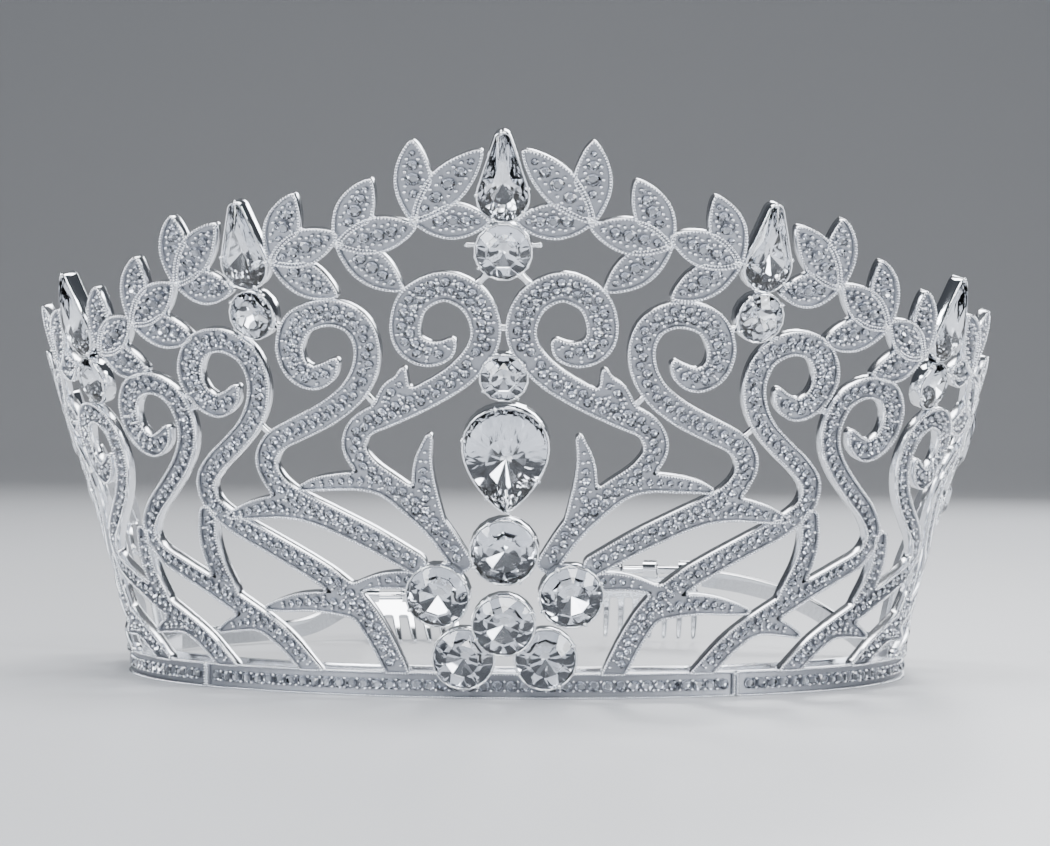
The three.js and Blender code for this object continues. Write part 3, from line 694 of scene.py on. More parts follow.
def set_stones(stones, metal, seats, grains, taken, rng):
    """Small stones tilted a little by hand, and the grains that hold them."""
    for x, z, radius, turn in seats:
        points, faces, kinds = SMALL_STONE
        tilt = rng.normal(0, STONE_TILT, 2)
        c, s = math.cos(turn), math.sin(turn)
        px, py = points[:, 0] * radius, points[:, 1] * radius
        height = points[:, 2] * radius + tilt[0] * px + tilt[1] * py
        height += CHANNEL_FLOOR + STONE_LIFT
        placed = np.column_stack([x + px * c - py * s, z + px * s + py * c, height])
        stones.add(placed, faces, kinds)
    free = []
    for x, z in grains:
        near = min((math.hypot(x - a, z - b) - c for a, b, c in taken), default=1.0)
        size = min(GRAIN_RADIUS, near + 0.16)
        if size > GRAIN_LEAST and all(math.hypot(x - a, z - b) > GRAIN_APART for a, b in free):
            free.append((x, z))
            scatter(metal, [(x, z, CHANNEL_FLOOR + GRAIN_LIFT, 0, size, size, GRAIN_HEIGHT)])


# ------------------------------------------------------------------ cut stones and cups


def circle_loop(radius, sides=16):
    turn = 2 * np.pi * (np.arange(sides) + 0.5) / sides
    return np.stack([radius * np.cos(turn), radius * np.sin(turn)], 1)


def pear_loop(length, width, fullness, sides=20, direction=1):
    """A teardrop, counter-clockwise, with its point up or down."""
    turn = 2 * np.pi * np.arange(sides) / sides
    half = np.sin(turn) * np.sin(turn / 2) ** fullness
    half *= width / 2 / half.max()
    return np.stack([-half * direction, direction * np.cos(turn) * length / 2], 1)


def drop_loop(length, width, sides=24):
    """A drop with straight shoulders and a small round tip, point up."""
    radius = width / 2
    tip_radius = 0.3 * radius
    low = -length / 2 + radius
    high = length / 2 - tip_radius
    lean = math.asin((radius - tip_radius) / (high - low))
    big = sides * 2 // 3
    small = sides - big
    points = []
    for k in range(big):
        turn = math.pi - lean + (math.pi + 2 * lean) * k / (big - 1)
        points.append((radius * math.cos(turn), low + radius * math.sin(turn)))
    for k in range(small):
        turn = lean + (math.pi - 2 * lean) * (k + 0.5) / small
        points.append((tip_radius * math.cos(turn), high + tip_radius * math.sin(turn)))
    return np.array(points)


def grown(loop, amount):
    """A closed loop made larger all round, with its corners kept from running away."""
    before = loop - np.roll(loop, 1, axis=0)
    after = np.roll(loop, -1, axis=0) - loop
    first = np.stack([before[:, 1], -before[:, 0]], 1)
    second = np.stack([after[:, 1], -after[:, 0]], 1)
    first /= np.linalg.norm(first, axis=1, keepdims=True)
    second /= np.linalg.norm(second, axis=1, keepdims=True)
    outward = first + second
    outward /= np.linalg.norm(outward, axis=1, keepdims=True)
    mitre = np.minimum(1 / np.maximum((outward * first).sum(1), 0.3), 1.5)
    return loop + outward * (amount * mitre)[:, None]


def cut_stone(loop, crown, pavilion, table=0.56):
    """A faceted stone on its girdle loop: kind 0 faces are clear and kind 1 are foiled."""
    count = len(loop)
    centre = loop.mean(0)
    half = count // 2
    girdle_top = np.column_stack([loop, np.full(count, 0.12)])
    girdle_low = np.column_stack([loop, np.full(count, -0.12)])
    pairs = 0.5 * (loop + np.roll(loop, -1, axis=0))[::2]
    odd = 0.5 * (pairs + np.roll(pairs, -1, axis=0))
    ring = centre + (odd - centre) * 0.84
    table_loop = centre + (pairs - centre) * table
    bezel = np.column_stack([ring, np.full(half, crown * 0.5)])
    top = np.column_stack([table_loop, np.full(half, crown)])
    lower = np.column_stack([centre + (pairs - centre) * 0.62, np.full(half, -pavilion * 0.42)])
    culet = np.array([[centre[0], centre[1], -pavilion]])
    points = np.concatenate([girdle_top, girdle_low, bezel, top, lower, culet])
    g, w, b, t, low, tip = 0, count, 2 * count, 2 * count + half, 2 * count + 2 * half, 2 * count + 3 * half
    faces, kinds = [[t + i for i in range(half)]], [0]

    def face(indices, kind):
        faces.append(indices)
        kinds.append(kind)

    for i in range(half):
        j = (i + 1) % half
        a0, a1, a2 = 2 * i, 2 * i + 1, (2 * i + 2) % count
        a3 = (2 * i + 3) % count
        face([t + i, b + i, t + j], 0)
        face([g + a1, g + a2, b + i], 0)
        face([g + a0, g + a1, t + i], 0)
        face([t + i, g + a1, b + i], 0)
        face([t + j, b + i, g + a2], 0)
        face([g + a0, w + a0, w + a1, g + a1], 0)
        face([g + a1, w + a1, w + a2, g + a2], 0)
        face([w + a0, low + i, w + a1], 1)
        face([w + a1, low + i, low + j], 1)
        face([w + a1, low + j, w + a2], 1)
        face([low + i, tip, low + j], 1)
    oriented = []
    middle = np.array([centre[0], centre[1], 0.0])
    for indices in faces:
        corners = points[indices]
        normal = np.cross(corners[1] - corners[0], corners[2] - corners[0])
        outward = corners.mean(0) - middle
        oriented.append(indices if np.dot(normal, outward) > 0 else indices[::-1])
    return points, oriented, kinds


def cup_shape(loop, low, high):
    """A thin cup with a rolled lip round a stone's girdle."""
    shape = Shape()
    outside = grown(loop, CUP_WALL)
    profile = [
        (CUP_EDGE, low),
        (0, low + CUP_EDGE),
        (0, high - 0.2),
        (0.1, high),
        (CUP_WALL * 0.9, high - 0.05),
        (CUP_WALL, high - 0.5),
    ]
    wall_of_loop(shape, outside, profile)
    flat_fill(shape, [outside + inward_normals(outside) * CUP_EDGE], low, False, 1)
    flat_fill(shape, [loop + inward_normals(loop) * 0.05], low + CUP_FLOOR, True)
    return shape


def prongs(loop, count, height, start=0.0):
    """Small claws bent over the girdle."""
    shape = Shape()
    total = len(loop)
    for k in range(count):
        i = int(round(start + k * total / count)) % total
        x, z = grown(loop, CUP_WALL * 0.3)[i]
        turn = math.atan2(z - loop[:, 1].mean(), x - loop[:, 0].mean())
        scatter(shape, [(x, z, height, turn, *PRONG_SIZE)])
    return shape


# ------------------------------------------------------------------ materials


def new_material(name):
    material = bpy.data.materials.new(name)
    material.use_nodes = True
    nodes = material.node_tree.nodes
    return material, nodes, material.node_tree.links, nodes["Principled BSDF"]


def add_noise(nodes, links, scale, detail=4.0):
    coordinates = nodes.new("ShaderNodeTexCoord")
    noise = nodes.new("ShaderNodeTexNoise")
    noise.inputs["Scale"].default_value = scale
    noise.inputs["Detail"].default_value = detail
    links.new(coordinates.outputs["Object"], noise.inputs["Vector"])
    return noise


def ranged(nodes, links, source, low, high):
    spread = nodes.new("ShaderNodeMapRange")
    spread.inputs["To Min"].default_value = low
    spread.inputs["To Max"].default_value = high
    links.new(source, spread.inputs["Value"])
    return spread.outputs["Result"]


def plated_metal(name, colour, rough_low, rough_high, cast_scale, bump_strength):
    """Bright plating over cast metal: cloudy gloss and a fine cast skin."""
    material, nodes, links, shader = new_material(name)
    shader.inputs["Metallic"].default_value = 1.0
    cloud = add_noise(nodes, links, 220.0)
    ramp = nodes.new("ShaderNodeValToRGB")
    ramp.color_ramp.elements[0].color = (*[c * 0.9 for c in colour], 1)
    ramp.color_ramp.elements[1].color = (*colour, 1)
    links.new(cloud.outputs["Fac"], ramp.inputs["Fac"])
    links.new(ramp.outputs["Color"], shader.inputs["Base Color"])
    grain = add_noise(nodes, links, cast_scale, 6.0)
    gloss = ranged(nodes, links, grain.outputs["Fac"], rough_low, rough_high)
    links.new(gloss, shader.inputs["Roughness"])
    bump = nodes.new("ShaderNodeBump")
    bump.inputs["Strength"].default_value = bump_strength
    bump.inputs["Distance"].default_value = 0.00005
    links.new(grain.outputs["Fac"], bump.inputs["Height"])
    links.new(bump.outputs["Normal"], shader.inputs["Normal"])
    return material


def cast_back(name, colour):
    """The unpolished back of a casting: satin skin with small pits behind the stones."""
    material, nodes, links, shader = new_material(name)
    shader.inputs["Metallic"].default_value = 1.0
    shader.inputs["Base Color"].default_value = (*colour, 1)
    skin = add_noise(nodes, links, 1800.0, 6.0)
    links.new(ranged(nodes, links, skin.outputs["Fac"], 0.24, 0.46), shader.inputs["Roughness"])
    pits = nodes.new("ShaderNodeTexVoronoi")
    pits.inputs["Scale"].default_value = 520.0
    pits.inputs["Randomness"].default_value = 0.7
    coordinates = nodes.new("ShaderNodeTexCoord")
    links.new(coordinates.outputs["Object"], pits.inputs["Vector"])
    depth = nodes.new("ShaderNodeMapRange")
    depth.inputs["From Min"].default_value = 0.12
    depth.inputs["From Max"].default_value = 0.34
    links.new(pits.outputs["Distance"], depth.inputs["Value"])
    pitted = nodes.new("ShaderNodeBump")
    pitted.inputs["Strength"].default_value = 0.3
    pitted.inputs["Distance"].default_value = 0.00025
    links.new(depth.outputs["Result"], pitted.inputs["Height"])
    rough = nodes.new("ShaderNodeBump")
    rough.inputs["Strength"].default_value = 0.3
    rough.inputs["Distance"].default_value = 0.00006
    links.new(skin.outputs["Fac"], rough.inputs["Height"])
    links.new(pitted.outputs["Normal"], rough.inputs["Normal"])
    links.new(rough.outputs["Normal"], shader.inputs["Normal"])
    return material


def crystal(name, colour, rough_high):
    """Clear cut glass with a trace of polish haze."""
    material, nodes, links, shader = new_material(name)
    shader.inputs["Base Color"].default_value = (*colour, 1)
    shader.inputs["Transmission Weight"].default_value = 1.0
    shader.inputs["IOR"].default_value = 1.58
    haze = add_noise(nodes, links, 900.0)
    links.new(ranged(nodes, links, haze.outputs["Fac"], 0.0, rough_high), shader.inputs["Roughness"])
    return material


def foil(name, colour):
    """The mirror foil on the back of a stone."""
    material, nodes, links, shader = new_material(name)
    shader.inputs["Metallic"].default_value = 1.0
    shader.inputs["Base Color"].default_value = (*colour, 1)
    spots = add_noise(nodes, links, 400.0)
    links.new(ranged(nodes, links, spots.outputs["Fac"], 0.02, 0.09), shader.inputs["Roughness"])
    return material


def floor_material():
    material, nodes, links, shader = new_material("pale_floor")
    shader.inputs["Base Color"].default_value = (0.6, 0.61, 0.63, 1)
    cloud = add_noise(nodes, links, 3.0)
    links.new(ranged(nodes, links, cloud.outputs["Fac"], 0.35, 0.45), shader.inputs["Roughness"])
    return material


# ------------------------------------------------------------------ castings


def rear_scroll(along, drop):
    """The fourth scroll again, further round: its curl moves down and its lower part closes up."""
    room = LOWER_PART_TOP - FOOT_Z

    def lowered(z):
        return z - drop if z > LOWER_PART_TOP else FOOT_Z + (z - FOOT_Z) * (room - drop) / room

    return [[(x + along, lowered(z), w) for x, z, w in path] for path in SCROLLS[4]]


def trimmed(ribbons, share):
    return [[(x, z, width * share) for x, z, width in path] for path in ribbons]


def stone_outlines():
    """Every setting of the wall as it lies in the pattern, on the right half and the middle."""
    found = []
    for along, tip, round_radius in DROPS.values():
        spread = 1 + flare_at(tip) / bend_radius(along)
        rise = math.cos(lean_at(tip))
        loop = drop_loop(DROP_LENGTH, DROP_WIDTH) / [spread, 1 / rise]
        found.append(loop + [along, tip - DROP_LENGTH * rise / 2])
        round_z = round_height(tip, round_radius)
        found.append(circle_loop(round_radius) / [spread, 1 / rise] + [along, round_z])
    x, z, width, length = COLUMN_PEAR
    found.append(pear_loop(length, width, PEAR_FULLNESS, direction=-1) / PEAR_STRETCH + [x, z])
    x, z, radius = COLUMN_ROUND
    found.append(circle_loop(radius) / COLUMN_ROUND_STRETCH + [x, z])
    return found


def round_height(tip, radius):
    rise = math.cos(lean_at(tip))
    return tip - (DROP_LENGTH + radius) * rise + 0.1


def field_round(paths, margin=4.0):
    points = np.concatenate([np.array(path)[:, :2] for path in paths])
    return Field(points.min(0) - margin, points.max(0) + margin)


def scroll_values(field, ribbons):
    values = field.ribbon(ribbons[0])
    for path in ribbons[1:]:
        values = blended(values, field.ribbon(path))
    return values


def clear_of_settings(field, values, settings):
    for loop in settings:
        low, high = loop.min(0), loop.max(0)
        if np.any(high < field.low) or low[0] > field.x[-1] or low[1] > field.z[-1]:
            continue
        values = np.maximum(values, -field.polygon(loop))
    return values


def build_scroll(ribbons, before, settings, rng):
    """Metal and stones of one scroll, still flat."""
    field = field_round(ribbons)
    values = scroll_values(field, ribbons)
    if before:
        values = np.maximum(values, -scroll_values(field, before) + 0.02)
    values = clear_of_settings(field, values, settings)
    values = np.maximum(values, FOOT_Z - field.gz)
    values = np.maximum(values, 0.15 - field.gx)
    metal, stones = Shape(), Shape()
    channelled_plate(field, values, metal)
    taken = []
    for path in ribbons:
        seats, grains = pave_along(path, field, values, taken, rng)
        set_stones(stones, metal, seats, grains, taken, rng)
    return metal, stones


def stretch_at(along, z):
    """How much wider and taller the pattern becomes on the wall."""
    return np.array([1 + flare_at(z) / bend_radius(along), 1 / math.cos(lean_at(z))])


def across_leaf(base, tip):
    """The step in the pattern that is a real millimetre across a leaf."""
    stretch = stretch_at(*((base + tip) / 2))
    run = (tip - base) * stretch
    return np.array([-run[1], run[0]]) / np.linalg.norm(run) / stretch


def leaf_loop(base, tip):
    """A pointed oval from base to tip, with a real width."""
    base, tip = np.array(base, float), np.array(tip, float)
    t = np.linspace(0, 1, 25)
    half = LEAF_WIDTH / 2 * np.sin(np.pi * t) ** LEAF_POINT
    middle = base + np.outer(t, tip - base)
    offset = np.outer(half, across_leaf(base, tip))
    right = middle - offset
    left = middle + offset
    return np.vstack([right, left[1:-1][::-1]])


LEAF_STONES = [(0.17, 0.6), (0.34, 0.88), (0.53, 1.0), (0.71, 0.82), (0.86, 0.5)]
LEAF_GRAINS = [(0.26, 1.1), (0.36, 1.45), (0.44, 1.25), (0.53, 1.6), (0.62, 1.25), (0.7, 1.3), (0.79, 0.9)]
LEAF_LIFTS = (0.1, 0.25, 0.0)


def build_leaf(base, tip, settings, lift, rng):
    """One leaf with its own beaded rim and a row of stones down its middle."""
    base, tip = np.array(base, float), np.array(tip, float)
    loop = leaf_loop(base, tip)
    field = Field(loop.min(0) - 1, loop.max(0) + 1)
    values = clear_of_settings(field, field.polygon(loop), settings)
    metal, stones = Shape(), Shape()
    channelled_plate(field, values, metal)
    taken = []
    seats = []
    for share, radius in LEAF_STONES:
        spot = base + (tip - base) * share
        inside = -value_at(field, values, [spot])[0] - RIM_WIDTH * 0.9
        radius = min(radius, inside)
        if radius > 0.3:
            seats.append((spot[0], spot[1], radius, rng.uniform(0, math.pi)))
            taken.append((spot[0], spot[1], radius))
    across = across_leaf(base, tip)
    grains = [base + (tip - base) * share + across * side * out
              for share, out in LEAF_GRAINS for side in (-1, 1)]
    grains = [tuple(spot) for spot in grains if -value_at(field, values, [spot])[0] > RIM_WIDTH + 0.1]
    set_stones(stones, metal, seats, grains, taken, rng)
    raise_by = np.array([0, 0, lift])
    return metal.placed(lambda p: p + raise_by), stones.placed(lambda p: p + raise_by)


def build_stem(metal, stones, rng):
    """The stem from the last spray down to the end of the band."""
    field = field_round([END_STEM], 2.0)
    values = np.maximum(field.ribbon(END_STEM), FOOT_Z - field.gz)
    channelled_plate(field, values, metal)
    taken = []
    seats, grains = pave_along(END_STEM, field, values, taken, rng)
    set_stones(stones, metal, seats, grains, taken, rng)


def build_branch(number, settings, rng):
    """Sprays of three leaves. The middle leaf lies over the other two."""
    metal, stones = Shape(), Shape()
    covered = list(settings)
    for node, tips in BRANCHES[number]:
        for order in (1, 0, 2):
            leaf_metal, leaf_stones = build_leaf(node, tips[order], covered, LEAF_LIFTS[order], rng)
            covered.append(grown(leaf_loop(node, tips[order]), -LEAF_LAP))
            metal.extend(leaf_metal)
            stones.extend(leaf_stones)
        scatter(metal, [(*node, PLATE_FRONT - 0.1, 0, *TWIG_KNOT_SIZE)])
    if number == max(BRANCHES):
        build_stem(metal, stones, rng)
    return metal, stones


def make_castings(metal_materials, stone_materials):
    settings = stone_outlines()
    patterns = dict(SCROLLS)
    for number, (along, drop) in REAR_SCROLLS.items():
        patterns[number] = rear_scroll(along, drop)
    patterns = {number: trimmed(ribbons, RIBBON_TRIMS[number]) for number, ribbons in patterns.items()}
    made = {}
    for number, ribbons in patterns.items():
        rng = np.random.default_rng(number)
        made[f"scroll_{number}"] = build_scroll(ribbons, patterns.get(number - 1), settings, rng)
    for number in BRANCHES:
        made[f"leaf_branch_{number}"] = build_branch(number, settings, np.random.default_rng(20 + number))
    for name, (metal, stones) in made.items():
        placed_metal, placed_stones = metal.placed(on_wall), stones.placed(on_wall)
        for side in ("right", "left"):
            mirrored = side == "left"
            node = f"{name}_{side}"
            casting, pave = f"{node}_casting", f"{node}_pave"
            make_piece(casting, placed_metal, metal_materials, "crown", [node], mirrored)
            make_piece(pave, placed_stones, stone_materials, "crown", (), mirrored)


# ------------------------------------------------------------------ large stones


def setting_on_wall(along, z, loop, crown, pavilion, base, claws, table=0.56):
    """Cup and stone of one setting, placed rigidly. Base is the depth of the cup's back."""
    girdle = base + CULET_ROOM + pavilion
    cup = cup_shape(loop, base, girdle + 0.15)
    cup.extend(prongs(loop, claws, girdle + 0.1, 1))
    stone = Shape()
    points, faces, kinds = cut_stone(grown(loop, -0.06), crown, pavilion, table)
    stone.add(points + [0, 0, girdle], faces, kinds)

    def place(p):
        return seated(p, along, z)

    return cup.placed(place), stone.placed(place)


def make_setting(setting_name, metal, stones, metal_materials, stone_materials, sides):
    for side in sides:
        suffix = f"_{side}" if side else ""
        mirrored = side == "left"
        node = f"{setting_name}{suffix}"
        make_piece(f"{node}_cups", metal, metal_materials, "crown", [node], mirrored)
        for name, stone in stones.items():
            held = f"{name}{suffix}"
            make_piece(f"{held}_cut", stone, stone_materials, "crown", [held], mirrored)


def make_drops(metal_materials, stone_materials):
    for name, (along, tip, radius) in DROPS.items():
        rise = math.cos(lean_at(tip))
        drop = drop_loop(DROP_LENGTH - 2 * CUP_WALL, DROP_WIDTH - 2 * CUP_WALL)
        tall_cup, tall = setting_on_wall(
            along, tip - DROP_LENGTH * rise / 2, drop, crown=1.7, pavilion=1.7, base=DROP_CUP_BACK,
            claws=5, table=0.5,
        )
        ring = circle_loop(radius - CUP_WALL)
        low_cup, low = setting_on_wall(
            along, round_height(tip, radius), ring, crown=1.3, pavilion=1.8, base=DROP_CUP_BACK, claws=4
        )
        tall_cup.extend(low_cup)
        stones = {f"drop_stone_{name}": tall, f"round_stone_{name}": low}
        sides = ("",) if along == 0 else ("right", "left")
        make_setting(f"drop_setting_{name}", tall_cup, stones, metal_materials, stone_materials, sides)


def make_column(metal_materials, stone_materials):
    x, z, width, length = COLUMN_PEAR
    pear = pear_loop(length - 2 * CUP_WALL, width - 2 * CUP_WALL, PEAR_FULLNESS, 32, -1)
    cups, pear_stone = setting_on_wall(
        x, z, pear, crown=2.0, pavilion=2.6, base=PEAR_CUP_BACK, claws=6, table=0.5
    )
    x, z, radius = COLUMN_ROUND
    ring = circle_loop(radius - CUP_WALL)
    round_cup, round_stone = setting_on_wall(x, z, ring, crown=1.2, pavilion=1.6, base=PLATE_BACK, claws=4)
    cups.extend(round_cup)
    stones = {"column_pear_stone": pear_stone, "column_round_stone": round_stone}
    make_setting("column_setting", cups, stones, metal_materials, stone_materials, ("",))


def make_cluster(metal_materials, stone_materials):
    cups, stones = Shape(), {}
    for name, (x, z, radius, raised) in CLUSTER.items():
        ring = circle_loop(radius - CUP_WALL, 20)
        base = CLUSTER_FLOOR + raised - CULET_ROOM
        cup, stone = setting_on_wall(x, z, ring, crown=1.5, pavilion=1.9, base=base, claws=4)
        cups.extend(cup)
        stones[f"cluster_stone_{name}"] = stone
    post = Shape()
    x, z, _, raised = CLUSTER["front"]
    post_loop = circle_loop(CLUSTER_POST_RADIUS, 24)
    post_back = CLUSTER_FLOOR - 0.4
    wall_of_loop(post, post_loop, [(0, post_back), (0, CLUSTER_FLOOR + raised)])
    flat_fill(post, [post_loop], post_back, False, 1)
    cups.extend(post.placed(lambda p: seated(p, x, z)))
    make_setting("cluster_setting", cups, stones, metal_materials, stone_materials, ("",))


def make_bridges(metal_material):
    shape = Shape()
    for start, end, width in BRIDGES:
        path = [(*start, width), (*(0.5 * (np.array(start) + end)), width * 0.7), (*end, width)]
        field = field_round([path], 2.0)
        loops = [evened(loop, 0.25) for loop in contours(field, field.ribbon(path))]
        for loop in loops:
            wall_of_loop(shape, loop, BRIDGE_PROFILE)
        flat_fill(shape, [loop + inward_normals(loop) * BRIDGE_PROFILE[-1][0] for loop in loops],
                  BRIDGE_PROFILE[-1][1], True)
        flat_fill(shape, [loop + inward_normals(loop) * BRIDGE_PROFILE[0][0] for loop in loops],
                  BRIDGE_PROFILE[0][1], False)
    placed = shape.placed(on_wall)
    make_piece("solder_bridges_right", placed, [metal_material], "crown")
    make_piece("solder_bridges_left", placed, [metal_material], "crown", (), True)


# ------------------------------------------------------------------ band, arms and combs


def make_band(metal_materials, stone_materials):
    ends = [-BAND_END, *BAND_JOINTS, BAND_END]
    for name, start, end in zip(("band_left", "band_front", "band_right"), ends[:-1], ends[1:]):
        rng = np.random.default_rng(200 + int(end))
        field = Field((start - 1, -1), (end + 1, BAND_HEIGHT + 1), 0.25)
        dx = np.maximum(start + BAND_GAP - field.gx, field.gx - end + BAND_GAP)
        dz = np.maximum(-field.gz, field.gz - BAND_HEIGHT)
        values = np.maximum(dx, dz)
        metal, stones = Shape(), Shape()
        channelled_plate(field, values, metal, PLATE_BACK, 0)
        count = int((end - start - 1.6) / BAND_STONE_STEP)
        offset = start + (end - start - (count - 1) * BAND_STONE_STEP) / 2
        middle = BAND_HEIGHT / 2
        seats = [
            (offset + i * BAND_STONE_STEP, middle, BAND_STONE_RADIUS, rng.uniform(0, math.pi))
            for i in range(count)
        ]
        taken = [(x, z, r) for x, z, r, _ in seats]
        grains = [
            (x + BAND_STONE_STEP / 2, middle + side * 0.75) for x, _, _, _ in seats[:-1] for side in (-1, 1)
        ]
        set_stones(stones, metal, seats, grains, taken, rng)
        ledge = Shape()
        stations = np.linspace(start + BAND_GAP, end - BAND_GAP, int((end - start) / LEDGE_STEP))
        profile = [
            (0.0, PLATE_BACK),
            (0.0, LEDGE_BACK),
            (LEDGE_HEIGHT - LEDGE_ROUND, LEDGE_BACK),
            (LEDGE_HEIGHT, LEDGE_BACK + LEDGE_ROUND),
            (LEDGE_HEIGHT, LEDGE_FRONT - LEDGE_ROUND),
            (LEDGE_HEIGHT - LEDGE_ROUND, LEDGE_FRONT),
            (BAND_HEIGHT - 0.3, LEDGE_FRONT),
            (BAND_HEIGHT - 0.3, PLATE_BACK),
        ]
        sweep(ledge, [[(along, z, depth) for z, depth in profile] for along in stations])
        metal.extend(ledge)
        make_piece(f"{name}_casting", metal.placed(on_ring), metal_materials, "crown", [name])
        make_piece(f"{name}_pave", stones.placed(on_ring), stone_materials, "crown")


def sweep(shape, rings):
    """Skins a list of rings of points, and caps the ends."""
    count = len(rings[0])
    faces = []
    for r in range(len(rings) - 1):
        for i in range(count):
            a, b = r * count + i, r * count + (i + 1) % count
            faces.append([a, b, b + count, a + count])
    shape.add(np.concatenate([np.array(ring, float) for ring in rings]), faces, 0, True)
    shape.add(np.array(rings[0], float), [list(range(count))[::-1]])
    shape.add(np.array(rings[-1], float), [list(range(count))])


def rounded_section(height, back, front, radius=0.3):
    corners = [(-height / 2, back), (-height / 2, front), (height / 2, front), (height / 2, back)]
    section = []
    for (z, d), turn in zip(corners, (math.pi, math.pi / 2, 0, -math.pi / 2)):
        centre = (z - math.copysign(radius, z), d - math.copysign(radius, d - (back + front) / 2))
        for k in range(4):
            angle = turn + (math.pi / 2) * (k / 3) * (-1)
            section.append((centre[0] + radius * math.cos(angle), centre[1] + radius * math.sin(angle)))
    return section


def rod_ends(side):
    near = ring_at(np.array([ARM_END - ROD_LAP]))
    far = ring_at(np.array([ROD_FAR_END]))
    z = ROD_Z[side]
    return np.array([near[0][0], near[1][0], z]), np.array([far[0][0], far[1][0], z])


def make_arm(side, material):
    line = smooth_line([(s, z) for s, z in ARM_PATHS[side]], 10)
    section = rounded_section(ARM_HEIGHT, ARM_BACK, ARM_FRONT)
    rings = []
    for i, (s, z) in enumerate(line):
        before, after = line[max(i - 1, 0)], line[min(i + 1, len(line) - 1)]
        slope = (after - before) / np.linalg.norm(after - before)
        rings.append([(s - slope[1] * h, z + slope[0] * h, d) for h, d in section])
    strip = Shape()
    sweep(strip, rings)
    shape = strip.placed(on_ring)
    near, far = rod_ends(side)
    axis = (far - near) / np.linalg.norm(far - near)
    across = np.cross((0, 0, 1), axis)
    rod = []
    length = np.linalg.norm(far - near)
    for at, size in [(0, 0.9), (0.3, 1), (length - 0.5, 1), (length - 0.15, 0.8), (length, 0.4)]:
        ring = []
        for k in range(20):
            turn = 2 * math.pi * k / 20
            offset = across * math.cos(turn) + np.array([0, 0, 1]) * math.sin(turn)
            ring.append(near + axis * at + offset * ROD_RADIUS * size)
        rod.append(ring)
    sweep(shape, rod)
    make_piece(f"rear_arm_{side}_strip", shape, [material], "crown",
               [f"rear_arm_{side}"], side == "left")


def add_knuckle(shape, middle, sides=28):
    """A rolled tube round the rod, with square ends."""
    low, high = middle - KNUCKLE_LENGTH / 2, middle + KNUCKLE_LENGTH / 2
    rim = [(low, KNUCKLE_INNER), (low, KNUCKLE_OUTER), (high, KNUCKLE_OUTER), (high, KNUCKLE_INNER)]
    for first, second in zip(rim, rim[1:] + rim[:1]):
        points = []
        for k in range(sides):
            turn = 2 * math.pi * k / sides
            for x, radius in (first, second):
                points.append((x, radius * math.cos(turn), radius * math.sin(turn)))
        faces = []
        for k in range(sides):
            a, b = 2 * k, 2 * ((k + 1) % sides)
            faces.append([a, b, b + 1, a + 1])
        shape.add(points, faces, 0, True)


def make_comb(side, material):
    """Spine, tapered teeth and rolled knuckles, placed on the rod of that side."""
    half = COMB_WIDTH / 2
    top = -KNUCKLE_INNER - 0.2
    bottom = top - COMB_SPINE
    tip = bottom - COMB_TOOTH_LENGTH
    field = Field((-half - 1, tip - 1), (half + 1, top + 1), 0.1)
    dx = np.abs(field.gx) - half + COMB_CORNER
    dz = np.abs(field.gz - (top + bottom) / 2) - COMB_SPINE / 2 + COMB_CORNER
    outside = np.hypot(np.maximum(dx, 0), np.maximum(dz, 0))
    values = outside + np.minimum(np.maximum(dx, dz), 0) - COMB_CORNER
    pitch = (COMB_WIDTH - COMB_TOOTH_WIDTH) / (COMB_TEETH - 1)
    for i in range(COMB_TEETH):
        x = -half + COMB_TOOTH_WIDTH / 2 + i * pitch
        root, point = TOOTH_ENDS
        tooth = field.ribbon(
            [(x, bottom + 1, root), (x, (bottom + tip) / 2, COMB_TOOTH_WIDTH), (x, tip + point / 2, point)]
        )
        values = blended(values, tooth, TOOTH_FILLET)
    loops = [evened(loop, 0.25) for loop in contours(field, values)]
    flat = Shape()
    edge = COMB_THICKNESS / 2
    for loop in loops:
        wall_of_loop(flat, loop, [
            (COMB_EDGE, -edge),
            (0, -edge + COMB_EDGE),
            (0, edge - COMB_EDGE),
            (COMB_EDGE, edge),
        ])
    inset = [loop + inward_normals(loop) * COMB_EDGE for loop in loops]
    flat_fill(flat, inset, edge, True)
    flat_fill(flat, inset, -edge, False)

    def curved(p):
        below = np.clip((bottom - p[:, 1]) / COMB_TOOTH_LENGTH, 0, 1)
        return np.column_stack([p[:, 0], -p[:, 2] + TOOTH_CURVE * below**2, p[:, 1]])

    shape = flat.placed(curved)
    for share in KNUCKLE_PLACES:
        add_knuckle(shape, share * COMB_WIDTH)
    near, far = rod_ends(side)
    along = (far - near) / np.linalg.norm(far - near)
    inwards = np.cross((0, 0, 1), along)
    tilt = COMB_TILT[side]
    middle = (near + far) / 2

    def place_comb(p):
        y = p[:, 1] * math.cos(tilt) - p[:, 2] * math.sin(tilt)
        z = p[:, 1] * math.sin(tilt) + p[:, 2] * math.cos(tilt)
        return middle + np.outer(p[:, 0], along) + np.outer(y, inwards) + np.outer(z, (0, 0, 1))

    make_piece(f"comb_{side}_plate", shape.placed(place_comb), [material], f"comb_{side}",
               [f"comb_{side}"], side == "left")


# ------------------------------------------------------------------ stage, light and camera


# Metres.
FLOOR_HALF = 5
FLOOR_END = 1.2
COVE_RADIUS = 1.0


